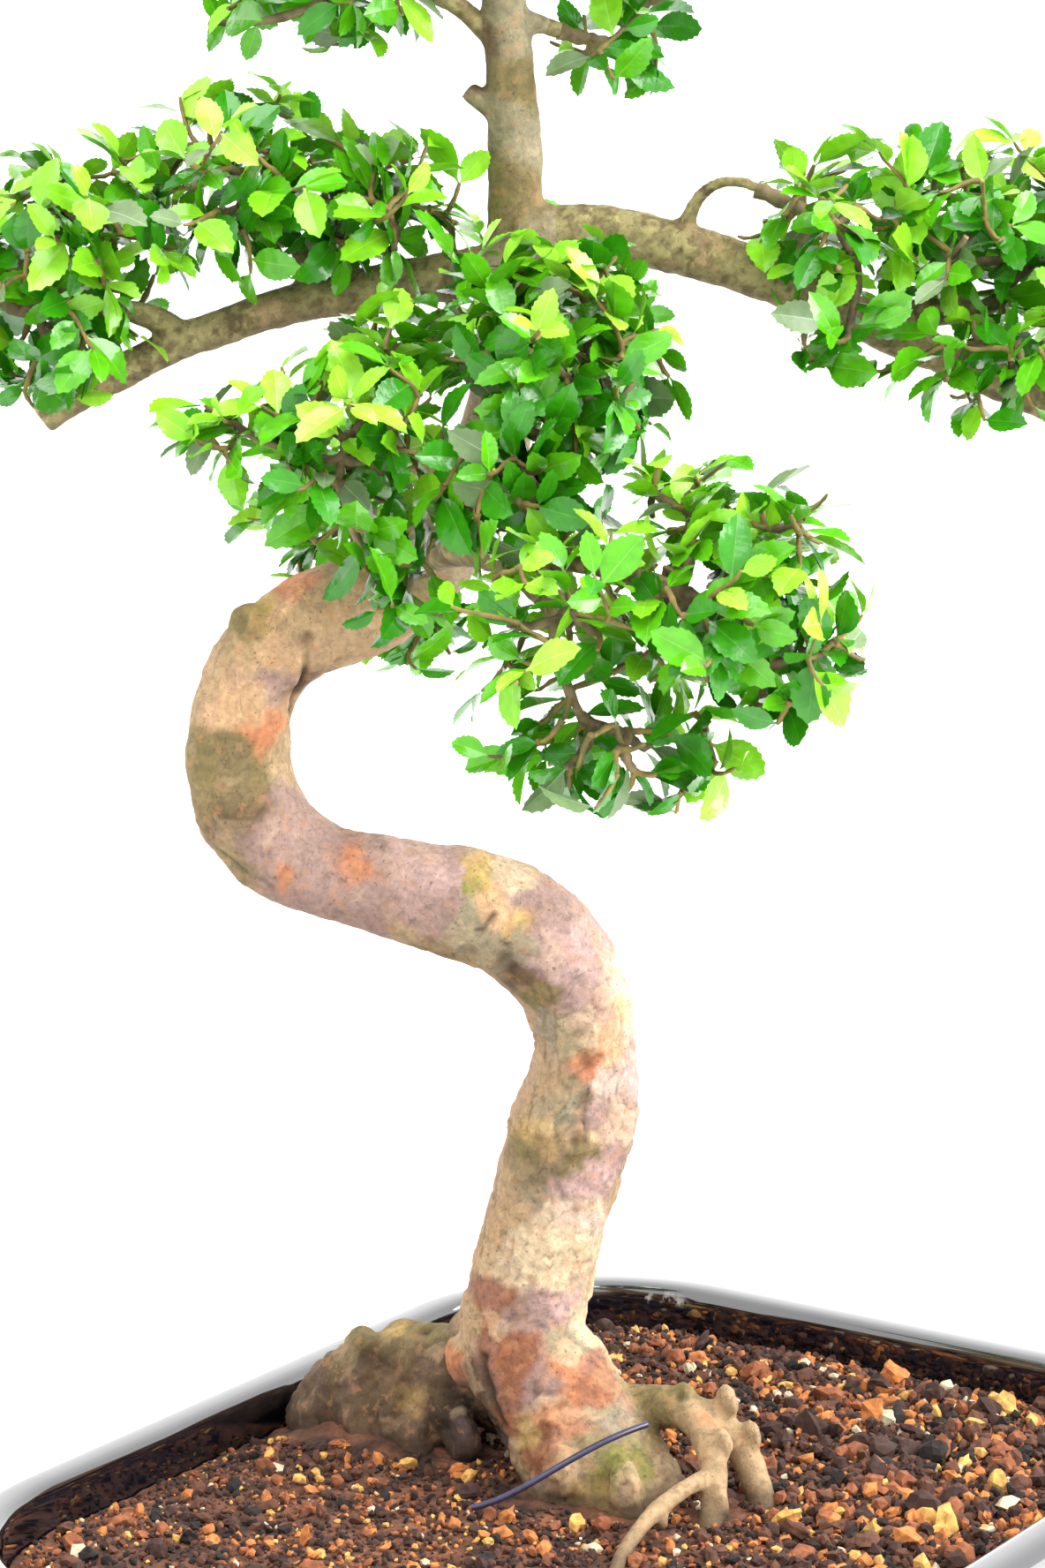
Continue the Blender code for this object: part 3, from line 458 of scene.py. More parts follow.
def lay_ring(bm, inset, height):
    """One closed ring of edges round the pot."""
    verts = [bm.verts.new((p.x, p.y, height)) for p in rounded_outline(inset)]
    return [bm.edges.new(pair) for pair in zip(verts, verts[1:] + verts[:1])]


bm = bmesh.new()
rings = [lay_ring(bm, inset, height) for inset, height in POT_SECTION]
for lower, upper in zip(rings, rings[1:]):
    bmesh.ops.bridge_loops(bm, edges=lower + upper)
for end in (rings[0], rings[-1]):
    bmesh.ops.holes_fill(bm, edges=end, sides=0)
bmesh.ops.recalc_face_normals(bm, faces=bm.faces)
pot_work = work_object("pot_work", mesh_from("pot_work", bm))
drills = []
for side in (-1, 1):
    bm = bmesh.new()
    bmesh.ops.create_cone(
        bm, cap_ends=True, segments=40, radius1=HOLE_RADIUS, radius2=HOLE_RADIUS,
        depth=POT_HEIGHT / 2, matrix=Matrix.Translation((side * HOLE_SPACING / 2, 0, 0)))
    drills.append(work_object("drill", mesh_from("drill", bm)))
    cut = pot_work.modifiers.new("drain hole", "BOOLEAN")
    cut.operation = "DIFFERENCE"
    cut.solver = "MANIFOLD"
    cut.object = drills[-1]
pot_mesh = evaluated_mesh(pot_work)
for drill in drills:
    bpy.data.objects.remove(drill)
pot_mesh.shade_smooth()
pot_mesh.set_sharp_from_angle(angle=math.radians(50))
print("pot", len(pot_mesh.polygons), "faces")

# %% [markdown]
# The glaze is black with a trace of blue, and glassy: a low roughness and a
# refractive index a little above window glass. A slow unevenness in the
# bump is what keeps a dipped glaze from looking like lacquer. Hard water
# has left a broken white line of lime inside the wall, under the rim, and
# the foot that stood on the kiln shelf is bare brown clay.

# %% The glaze
glaze, tree, shader = material(
    "black_stoneware_glaze", Roughness=0.07, IOR=1.75, Coat_Weight=1.0, Coat_IOR=1.75,
    Coat_Roughness=0.03)
place = add_node(tree, "ShaderNodeTexCoord").outputs["Object"]
axes = add_node(tree, "ShaderNodeSeparateXYZ", {"Vector": place})
pooling = add_node(tree, "ShaderNodeTexNoise", {"Vector": place}, Scale=60.0, Detail=2.0)
depth = add_node(tree, "ShaderNodeValToRGB", {"Fac": pooling.outputs["Fac"]})
depth.color_ramp.elements[0].color = linear("#050509")
depth.color_ramp.elements[1].color = linear("#0D0E18")
# Lime: a band two to five millimetres under the rim, broken up every few mm
crust = add_node(tree, "ShaderNodeTexNoise", {"Vector": place}, Scale=170.0, Detail=6.0,
                 Roughness=0.65)
patches = add_node(tree, "ShaderNodeTexNoise", {"Vector": place}, Scale=28.0, Detail=1.0)
level = add_node(tree, "ShaderNodeMapRange", {"Value": axes.outputs["Z"]},
                 From_Min=0.0700, From_Max=0.0716)
above = add_node(tree, "ShaderNodeMapRange", {"Value": axes.outputs["Z"]},
                 From_Min=0.0740, From_Max=0.0722)
inside = add_node(tree, "ShaderNodeMapRange", {"Value": axes.outputs["X"]},
                  From_Min=0.1149, From_Max=0.1143)
far_side = add_node(tree, "ShaderNodeMapRange", {"Value": axes.outputs["X"]},
                    From_Min=0.090, From_Max=0.108)
band = level.outputs["Result"]
for other in (above, inside, far_side):
    band = add_node(tree, "ShaderNodeMath", {0: band, 1: other.outputs["Result"]},
                    operation="MULTIPLY").outputs[0]
broken = add_node(tree, "ShaderNodeMath",
                  {0: crust.outputs["Fac"], 1: patches.outputs["Fac"]}, operation="ADD")
lime = add_node(tree, "ShaderNodeMapRange", {"Value": broken.outputs[0]},
                From_Min=1.00, From_Max=1.09)
lime = add_node(tree, "ShaderNodeMath", {0: lime.outputs["Result"], 1: band},
                operation="MULTIPLY")
foot = add_node(tree, "ShaderNodeMapRange", {"Value": axes.outputs["Z"]},
                From_Min=0.0013, From_Max=0.0008)
limed = add_node(tree, "ShaderNodeMix", {"Factor": lime.outputs[0]}, data_type="RGBA")
limed.inputs[7].default_value = linear("#B9B7B0")
tree.links.new(depth.outputs["Color"], limed.inputs[6])
bare = add_node(tree, "ShaderNodeMix", {"Factor": foot.outputs["Result"]}, data_type="RGBA")
bare.inputs[7].default_value = linear("#6B4E3C")
tree.links.new(limed.outputs[2], bare.inputs[6])
tree.links.new(bare.outputs[2], shader.inputs["Base Color"])
dull = add_node(tree, "ShaderNodeMath",
                {0: lime.outputs[0], 1: foot.outputs["Result"]}, operation="ADD")
rough = add_node(tree, "ShaderNodeMapRange", {"Value": dull.outputs[0]},
                 To_Min=0.07, To_Max=0.85)
tree.links.new(rough.outputs["Result"], shader.inputs["Roughness"])
ripple = add_node(tree, "ShaderNodeTexNoise", {"Vector": place}, Scale=95.0, Detail=1.5)
add_bump(tree, shader, ripple.outputs["Fac"], 0.10, 0.0012)
add_piece("glazed_pot", pot_mesh, [glaze], ["pot"])

# %% [markdown]
# ## The soil
# Bonsai soil is grit: crumbs of loam, baked clay, pumice and bark. Under it
# lies a bed, a sheet pushed up and down by noise and closed below. The bed
# only shows as the dark between the crumbs.

# %% The soil bed
BED_TOP = SOIL_TOP - 0.0020
WALL_DROP = 0.0036
MOUNDS = (((-0.048, 0.040), 0.016, 0.0042), ((0.004, 0.006), 0.020, 0.0016))
BED_INSET = 0.0106
BED_SPACING = 0.0014
BED_DEPTH = 0.012


def outline_distance(x, y, inset):
    """How far a place is outside the pot's outline set in by a distance."""
    radius = POT_CORNER - inset
    dx = abs(x) - (POT_LENGTH / 2 - inset - radius)
    dy = abs(y) - (POT_WIDTH / 2 - inset - radius)
    return math.hypot(max(dx, 0.0), max(dy, 0.0)) + min(max(dx, dy), 0.0) - radius


def soil_height(x, y):
    """The height of the bed, with slow heaves and small crumbs."""
    slow = noise.noise(Vector((x, y, 0.0)) / 0.020)
    quick = noise.noise(Vector((x, y, 0.7)) / 0.0042)
    crumbly = noise.noise(Vector((x, y, 0.9)) / 0.0017)
    wall = max(0.0, 1.0 + outline_distance(x, y, BED_INSET) / 0.022)
    height = BED_TOP + 0.0009 * slow + 0.0006 * quick + 0.0004 * crumbly
    height -= WALL_DROP * wall ** 1.5
    for (middle_x, middle_y), reach, rise in MOUNDS:
        middle = TREE @ Vector((middle_x, middle_y, 0.0))
        away = math.hypot(x - middle.x, y - middle.y)
        height += rise * math.exp(-(away / reach) ** 2)
    return height


bm = bmesh.new()
bmesh.ops.create_grid(
    bm, x_segments=round(POT_LENGTH / BED_SPACING), y_segments=round(POT_WIDTH / BED_SPACING),
    size=0.5, matrix=Matrix.Diagonal((POT_LENGTH, POT_WIDTH, 1.0, 1.0)))
outside = [
    face for face in bm.faces
    if all(outline_distance(v.co.x, v.co.y, BED_INSET) > 0.0 for v in face.verts)
]
bmesh.ops.delete(bm, geom=outside, context="FACES")
for vert in bm.verts:
    for _ in range(4):
        over = outline_distance(vert.co.x, vert.co.y, BED_INSET)
        if over > 0.0:
            probe = 0.0001
            slope = Vector((
                outline_distance(vert.co.x + probe, vert.co.y, BED_INSET) - over,
                outline_distance(vert.co.x, vert.co.y + probe, BED_INSET) - over, 0.0))
            vert.co -= slope.normalized() * over
    vert.co.z = soil_height(vert.co.x, vert.co.y)
below = bmesh.ops.extrude_face_region(bm, geom=bm.faces[:])
for vert in [item for item in below["geom"] if isinstance(item, bmesh.types.BMVert)]:
    vert.co.z = BED_TOP - BED_DEPTH
bmesh.ops.recalc_face_normals(bm, faces=bm.faces)
bed_mesh = mesh_from("soil_bed", bm, 60)

# %% The soil's finish
loam, tree, shader = material("damp_loam", Roughness=0.95)
place = add_node(tree, "ShaderNodeTexCoord").outputs["Object"]
# Crumbs of about a millimetre and a half
crumbs = add_node(tree, "ShaderNodeTexVoronoi", {"Vector": place}, Scale=650.0)
clods = add_node(tree, "ShaderNodeTexNoise", {"Vector": place}, Scale=140.0, Detail=5.0)
tone = add_node(tree, "ShaderNodeValToRGB", {"Fac": clods.outputs["Fac"]})
tone.color_ramp.elements[0].position = 0.35
tone.color_ramp.elements[0].color = linear("#25130A")
tone.color_ramp.elements[1].position = 0.70
tone.color_ramp.elements[1].color = linear("#74482F")
tree.links.new(tone.outputs["Color"], shader.inputs["Base Color"])
add_bump(tree, shader, crumbs.outputs["Distance"], 0.6, 0.0008)
add_piece("soil_bed", bed_mesh, [loam], ["soil"])

# %% [markdown]
# ## Paths of the trunk and limbs
# The trunk is a chain of arcs, worked out the same way as in the CAD, and a
# smooth curve through its stations. A limb is one Bezier curve that tapers.
# A limb's foot swells into a collar, as wood does where a bough leaves it.

# %% Paths of the trunk and limbs
def trunk_path():
    """Centre points and radii along the trunk, arc after arc."""
    x, depth, height = TRUNK_FOOT
    lean = TRUNK_FOOT_LEAN
    radius = TRUNK_FOOT_THICKNESS / 2
    points = [Vector((x, depth, height))]
    radii = [radius]
    for length, end_lean, end_depth, end_thickness in TRUNK_STRETCHES:
        steps = max(2, round(length / TRUNK_STEP))
        for step in range(steps):
            middle = math.radians(lean + (end_lean - lean) * (step + 0.5) / steps)
            along = (step + 1) / steps
            x += length / steps * math.sin(middle)
            height += length / steps * math.cos(middle)
            points.append(Vector((x, depth + (end_depth - depth) * along, height)))
            radii.append(radius + (end_thickness / 2 - radius) * along)
        lean = end_lean
        depth = end_depth
        radius = end_thickness / 2
    return points, radii


def smoothed(path, parts):
    """A smooth curve through the stations, with parts steps between two."""
    points, radii = path
    ends = [points[0] * 2 - points[1]] + points + [points[-1] * 2 - points[-2]]
    fine = []
    sizes = []
    for index in range(len(points) - 1):
        a, b, c, d = ends[index:index + 4]
        for step in range(parts):
            t = step / parts
            fine.append(0.5 * (
                2 * b + (c - a) * t + (2 * a - 5 * b + 4 * c - d) * t * t
                + (3 * b - a - 3 * c + d) * t ** 3))
            sizes.append(radii[index] + (radii[index + 1] - radii[index]) * t)
    return fine + [points[-1]], sizes + [radii[-1]]


def limb_path(limb, steps=7, collar=0.0):
    """A limb's centre points and radii, with a swollen foot if asked."""
    points = interpolate_bezier(
        Vector(limb.foot), Vector(limb.bend_a), Vector(limb.bend_b),
        Vector(limb.tip), steps)
    radii = []
    for index, point in enumerate(points):
        along = index / (steps - 1)
        radius = (limb.thick + (limb.thin - limb.thick) * along) / 2
        from_foot = (point - points[0]).length
        radii.append(radius * (1.0 + collar * math.exp(-from_foot / 0.009)))
    return points, radii


def bars_mesh(name, paths, sides):
    """Round bars along all the paths, as one mesh with closed ends."""
    curve = bpy.data.curves.new(name, "CURVE")
    curve.dimensions = "3D"
    curve.bevel_depth = 1.0
    curve.bevel_resolution = sides // 2 - 2
    curve.use_fill_caps = True
    for points, radii in paths:
        spline = curve.splines.new("POLY")
        spline.points.add(len(points) - 1)
        for point, place, radius in zip(spline.points, points, radii):
            point.co = (*place, 1.0)
            point.radius = radius
    mesh = evaluated_mesh(work_object(name, curve))
    bpy.data.curves.remove(curve)
    bm = bmesh.new()
    bm.from_mesh(mesh)
    bmesh.ops.remove_doubles(bm, verts=bm.verts, dist=0.00001)
    bmesh.ops.recalc_face_normals(bm, faces=bm.faces)
    bm.to_mesh(mesh)
    bm.free()
    return mesh


trunk = trunk_path()
print("trunk is", round(sum(s[0] for s in TRUNK_STRETCHES) * 1000), "mm along its bends")

# %% [markdown]
# ## Bark
# Trunk and roots are first plain bars that run into each other, and so are
# the boughs. A voxel remesh welds each set to one closed skin, as a sculptor
# would, and a little smoothing softens the joints. A bough starts thin
# inside a collar that belongs to the trunk, and comes out of it as the
# collar thins, so the join is lost in the swelling that a real bough has.

# %% Skins over the trunk and over the boughs
SKIN_VOXEL = 0.00076
COLLAR = 0.42
COLLAR_LENGTH = 0.014
# Short bars that heap the old root to the left up to a rough mound
LUMPS = (
    ((-0.057, 0.051, 0.004), 0.0085), ((-0.050, 0.047, 0.0125), 0.0085),
    ((-0.041, 0.046, 0.0125), 0.0100), ((-0.030, 0.042, 0.0130), 0.0095),
    ((-0.045, 0.038, 0.0035), 0.0085), ((-0.033, 0.034, 0.0060), 0.0080),
    ((-0.022, 0.036, 0.0120), 0.0090), ((-0.062, 0.048, -0.002), 0.0070),
    ((-0.028, 0.026, 0.0035), 0.0070), ((-0.0275, 0.0215, 0.0215), 0.0062),
    ((0.0195, 0.0115, 0.0160), 0.0044), ((0.0280, 0.0080, 0.0170), 0.0041),
    ((0.0330, 0.0040, 0.0110), 0.0037), ((0.0265, -0.0020, 0.0115), 0.0040),
    ((0.0250, -0.0100, 0.0020), 0.0048), ((0.0130, -0.0200, 0.0020), 0.0030),
    ((-0.009, 0.003, 0.0040), 0.0090), ((0.006, -0.004, 0.0010), 0.0085),
    ((-0.052, 0.041, -0.001), 0.0105), ((-0.040, 0.036, -0.001), 0.0105),
    ((-0.047, 0.044, 0.0060), 0.0110), ((-0.036, 0.039, 0.0070), 0.0110),
)


def collar_of(limb):
    """The start of a limb's path, fading inwards, as a part of its parent."""
    points, radii = limb_path(limb, 40, COLLAR)
    kept = []
    for point, radius in zip(points, radii):
        gone = (point - points[0]).length / COLLAR_LENGTH
        if gone > 1.0:
            break
        kept.append((point, radius * (1.03 - 0.42 * gone ** 2)))
    return [point for point, _ in kept], [radius for _, radius in kept]


def from_collar(limb):
    """A limb's path that starts thin, inside its collar."""
    points, radii = limb_path(limb, 18, COLLAR)
    for index, point in enumerate(points):
        gone = min((point - points[0]).length / COLLAR_LENGTH, 1.0)
        radii[index] *= 0.72 + 0.28 * gone
    return points, radii


def skin_over(name, bars):
    """One closed and softened skin over bars that run into each other."""
    work = work_object(name, bars_mesh(name, bars, 24))
    weld = work.modifiers.new("weld", "REMESH")
    weld.mode = "VOXEL"
    weld.voxel_size = SKIN_VOXEL
    mesh = evaluated_mesh(work)
    bm = bmesh.new()
    bm.from_mesh(mesh)
    for _ in range(4):
        bmesh.ops.smooth_vert(
            bm, verts=bm.verts, factor=0.5, use_axis_x=True, use_axis_y=True, use_axis_z=True)
    bmesh.ops.recalc_face_normals(bm, faces=bm.faces)
    bm.to_mesh(mesh)
    bm.free()
    print(name, len(mesh.vertices), "points")
    return mesh


trunk_bars = [smoothed(trunk, 4)]
trunk_bars += [limb_path(limb, 14) for limb in list(ROOTS.values()) + [STUB, KNOB]]
for place, radius in LUMPS:
    middle = Vector(place)
    reach = Vector((radius * 0.35, radius * 0.15, 0.0))
    trunk_bars.append(([middle - reach, middle, middle + reach], [radius * 0.7, radius, radius * 0.7]))
from_trunk = [
    limb for limb in BOUGHS.values()
    if (np.linalg.norm(np.array(trunk_bars[0][0]) - limb.foot, axis=1)).min() < 0.004]
collars = [collar_of(limb) for limb in from_trunk]
bough_bars = [
    from_collar(limb) if limb in from_trunk else limb_path(limb, 18, COLLAR)
    for limb in BOUGHS.values()]
skins = {
    "trunk_bark": (skin_over("trunk_bark", trunk_bars + collars), trunk_bars + collars),
    "bough_bark": (skin_over("bough_bark", bough_bars), bough_bars),
}

# %% [markdown]
# The marks are named places on the bark, in the tree's frame, in
# millimetres. A tone is the colour of the bark round a mark and how far it
# reaches. Where the trunk has shed a flake the fresh bark is peach, pink or
# salmon, old bark is mauve or olive, and the shaded hollows hold algae.

# %% The bark's marks
TONES = {
    "tan": "#9C8260", "cream": "#BBA687", "mauve": "#8D736A", "pink": "#A78982",
    "peach": "#B8946F", "ochre": "#AE9256", "salmon": "#AD6F4B", "olive": "#70623C",
    "moss": "#77733A", "umber": "#54402A", "rust": "#855338", "grey": "#857B61",
    "bone": "#BCA593", "black": "#261A10", "lichen": "#8F8459",
}
TONE_MARKS = {
    "ochre": (
        (-69, 17, 184, 4), (-23, 16, 129, 3.5), (-15, 12, 120, 3), (-11, 13, 73, 4),
        (-14, 4, 12, 3.5), (2, -4, 2, 4), (-38, 33, 9, 5), (-44, 44, 23, 4)),
    "olive": (
        (-71, 17, 181, 4), (-76, 12, 150, 9), (-33, 15, 114, 4), (-11, 14, 103, 3), (-45, 34, 22, 9), (-57, 44, 18, 8),
        (-75, 15, 133, 5), (-13, 14, 68, 5), (-4, 11, 70, 4), (-45, 17, 195, 10),
        (-22, 19, 240, 8), (-20, 19, 268, 9), (-14, 19, 290, 6), (-20, 20, 320, 12),
        (-50, 46, 22, 7), (-32, 42, 21, 6), (22, 12, 18, 4), (13, 14, 13, 5)),
    "umber": (
        (-73, 12, 143, 7), (-60, 16, 170, 3.5), (-15, 14, 108, 3.5), (-2, 12, 81, 3),
        (-30, 17, 14, 4), (-24, 13, 20, 5), (-50, 38, 8, 15), (-62, 46, 6, 12),
        (-38, 32, 6, 12),
        (-23, 20, 279, 5), (-36, 34, 14, 6), (-24, 22, 300, 7)),
    # The black marks low between the hump and the trunk are painted shade
    "black": ((-24, 22, 10, 7), (-30, 26, 6, 9), (-20, 16, 6, 5), (-42, 34, 3, 7)),
    "salmon": (
        (-69, 13, 159, 4.5), (-65, 13, 129, 2.6), (-51, 14, 131, 5), (-2, 14, 90, 3.4),
        (-6, 7, 25, 4), (-6, 3, 17, 5), (-28, 20, 22, 4.5), (-61, 18, 191, 5),
        (24, 3, 17, 2.5)),
    "mauve": (
        (-61, 17, 142, 7), (-67, 13, 170, 4), (-58, 14, 133, 8), (-44, 16, 132, 5),
        (-36, 12, 122, 7), (-47, 13, 123, 8), (-10, 15, 122, 7), (-2, 13, 103, 6),
        (-67, 12, 137, 8), (-54, 14, 123, 7), (5, 15, 76, 7), (-14, 11, 35, 5),
        (-11, 6, 22, 5)),
    "pink": (
        (-37, 15, 131, 7), (-31, 15, 130, 4), (-7, 13, 114, 6), (1, 17, 112, 7),
        (7, 18, 87, 5), (-2, 12, 64, 5), (-7, 12, 37, 5)),
    "peach": (
        (-74, 13, 165, 6), (-65, 13, 176, 6), (-21, 12, 122, 3.6), (6, 18, 99, 4),
        (3, 15, 93, 4), (-66, 14, 187, 4)),
    "tan": (
        (-63, 20, 151, 5), (-79, 20, 173, 9), (-59, 13, 179, 6), (-39, 14, 118, 4),
        (-10, 16, 86, 6), (-5, 11, 73, 4), (-17, 15, 57, 6), (-22, 17, 49, 5),
        (-4, -2, 6, 4), (-27, 18, 29, 5), (-33, 18, 17, 5), (-52, 15, 186, 8),
        (34, -2, 6, 9), (8, -28, 2, 12), (24, -12, 4, 8), (28, 4, 15, 6)),
    "cream": (
        (-15, 18, 128, 4), (-1, 13, 59, 3), (-9, 12, 51, 8), (-19, 13, 45, 4),
        (-6, 13, 44, 5), (-2, 20, 32, 5)),
    "bone": ((5, 20, 106, 5), (-4, 13, 55, 5), (4, 16, 84, 4), (7, 19, 96, 4)),
    "grey": (
        (-26, 12, 118, 5), (-18, 12, 113, 5), (-7, 14, 95, 5), (-7, 12, 80, 6),
        (-13, 12, 62, 4), (-6, 10, 29, 4), (2, 3, 15, 5), (-28, 18, 206, 12),
        (-14, 19, 228, 8), (-14, 19, 254, 9), (-17, 19, 282, 7), (-16, 20, 305, 9)),
    "moss": ((-26, 14, 127, 3), (3, -1, 7, 6.5), (25, -4, 1, 3), (-38, 40, 16, 4)),
    "rust": (
        (-20, 13, 38, 5), (-18, 8, 26, 6), (-1, 6, 21, 6), (-10, 2, 10, 4.5),
        (-17, 7, 15, 4)),
}
# A groove runs through its points, so wide and deep, and the bark in it is darkened as painted shade
Groove = namedtuple("Groove", "points width depth dark")
GROOVES = (
    Groove(((-59, 13, 179), (-60, 15, 172), (-61, 18, 167), (-63, 22, 160)), 1.1, 1.5, 1.0),
    Groove(((-52, 15, 175), (-55, 18, 171), (-59, 21, 167)), 0.8, 0.9, 0.8),
    Groove(((-81, 19, 137), (-75, 15, 132), (-67, 15, 127), (-60, 21, 120)), 0.8, 0.6, 0.7),
    Groove(((-11, 12, 109), (-9, 13, 103), (-11, 17, 95), (-11, 18, 89)), 0.7, 0.6, 0.6),
    Groove(((-21, 12, 122), (-23, 12, 118), (-24, 12, 118)), 0.7, 0.5, 0.9),
    Groove(((-19, 12, 116), (-14, 12, 113)), 0.6, 0.6, 0.6),
    Groove(((-19, 14, 110), (-14, 15, 107)), 2.4, 1.4, 0.55),
    Groove(((0, 13, 87), (-2, 12, 80), (-2, 11, 75)), 0.42, 0.6, 0.75),
    Groove(((-9, 11, 67), (-6, 11, 60), (2, 17, 59)), 0.7, 0.5, 0.35),
    Groove(((-23, 11, 26), (-22, 10, 20), (-19, 9, 12)), 1.3, 0.9, 0.9),
    Groove(((-23, 11, 26), (-13, 11, 32)), 0.8, 0.6, 0.7),
    Groove(((-15, 5, 14), (-6, 3, 18), (3, 6, 17)), 0.8, 0.5, 0.5),
    Groove(((-30, 18, 18), (-30, 17, 12)), 2.0, 1.6, 1.0),
    Groove(((-58, 44, 14), (-50, 40, 16), (-40, 36, 13)), 2.0, 1.6, 0.6),
    Groove(((-36, 42, 23), (-34, 36, 16)), 1.4, 1.2, 0.7),
    Groove(((18, 9, 18), (20, 5, 13)), 0.9, 0.7, 0.7),
)
# A ring stands up by a height at a radius, about a sunken middle
Ring = namedtuple("Ring", "place radius width rise sink")
RINGS = (
    Ring((-2, 13.5, 90), 3.2, 1.4, 1.1, 1.3), Ring((-25, 15, 113), 3.6, 0.9, 0.5, 0.7),
    Ring((-34, 14, 115), 2.8, 0.8, 0.4, 0.4), Ring((-71, 16.5, 182), 3.2, 1.1, 0.7, 0.8),
    Ring((-4.0, 11.5, 73), 2.4, 1.0, 0.8, 0.6), Ring((-11, 13, 73), 2.2, 0.9, 0.7, 0.4),
    Ring((-10, 2, 11), 3.8, 1.4, 0.7, 0.3), Ring((-18, 13, 112), 5.0, 1.1, 0.5, 0.9),
)
print(sum(len(m) for m in TONE_MARKS.values()), "tones and", len(GROOVES), "grooves")

# %% Push the relief into the skins and lay the tones on them
PLATE_SIZE = 0.0062
PLATE_LIFT = 0.00034
LUMP_LIFT = 0.00062
GRAIN_LIFT = 0.00020
TONE_EDGE = 4.5
TONE_SHIFT = 3.4


def smooth_step(value):
    value = np.clip(value, 0.0, 1.0)
    return value * value * (3.0 - 2.0 * value)


def away_from_line(places, line):
    """The distance of each place from a line through some points."""
    nearest = np.full(len(places), 1e9)
    for start, end in zip(line, line[1:]):
        start = np.array(start, float)
        span = np.array(end, float) - start
        along = np.clip((places - start) @ span / (span @ span), 0.0, 1.0)
        away = np.linalg.norm(places - start - along[:, None] * span, axis=1)
        nearest = np.minimum(nearest, away)
    return nearest


def noise_fields(places):
    """Lumps, grain, plates and a wandering shift at each place."""
    count = len(places)
    lumps, grain, kind, edge = (np.empty(count) for _ in range(4))
    wander = np.empty((count, 3))
    for index, place in enumerate(places):
        spot = Vector(place)
        lumps[index] = noise.noise(spot / 0.012) + 0.55 * noise.noise(spot / 0.0055)
        grain[index] = noise.noise(spot / 0.0021)
        bend = noise.noise_vector(spot / 0.0075)
        wander[index] = bend + 0.45 * noise.noise_vector(spot / 0.0026)
        near, centres = noise.voronoi(spot / PLATE_SIZE + 0.55 * bend)
        kind[index] = noise.noise(centres[0] * 3.7)
        edge[index] = near[1] - near[0]
    return lumps, grain, kind, edge, wander


def girth_at(places, bars):
    """The radius of the bar that each place lies on."""
    points = np.array([point for line, _ in bars for point in line])
    radii = np.array([radius for _, line in bars for radius in line])
    girth = np.empty(len(places))
    for start in range(0, len(places), 4000):
        gap = np.linalg.norm(places[start:start + 4000, None] - points, axis=2) - radii
        girth[start:start + 4000] = radii[gap.argmin(axis=1)]
    return girth


def tone_colour(name):
    return np.array(linear(TONES[name])[:3])


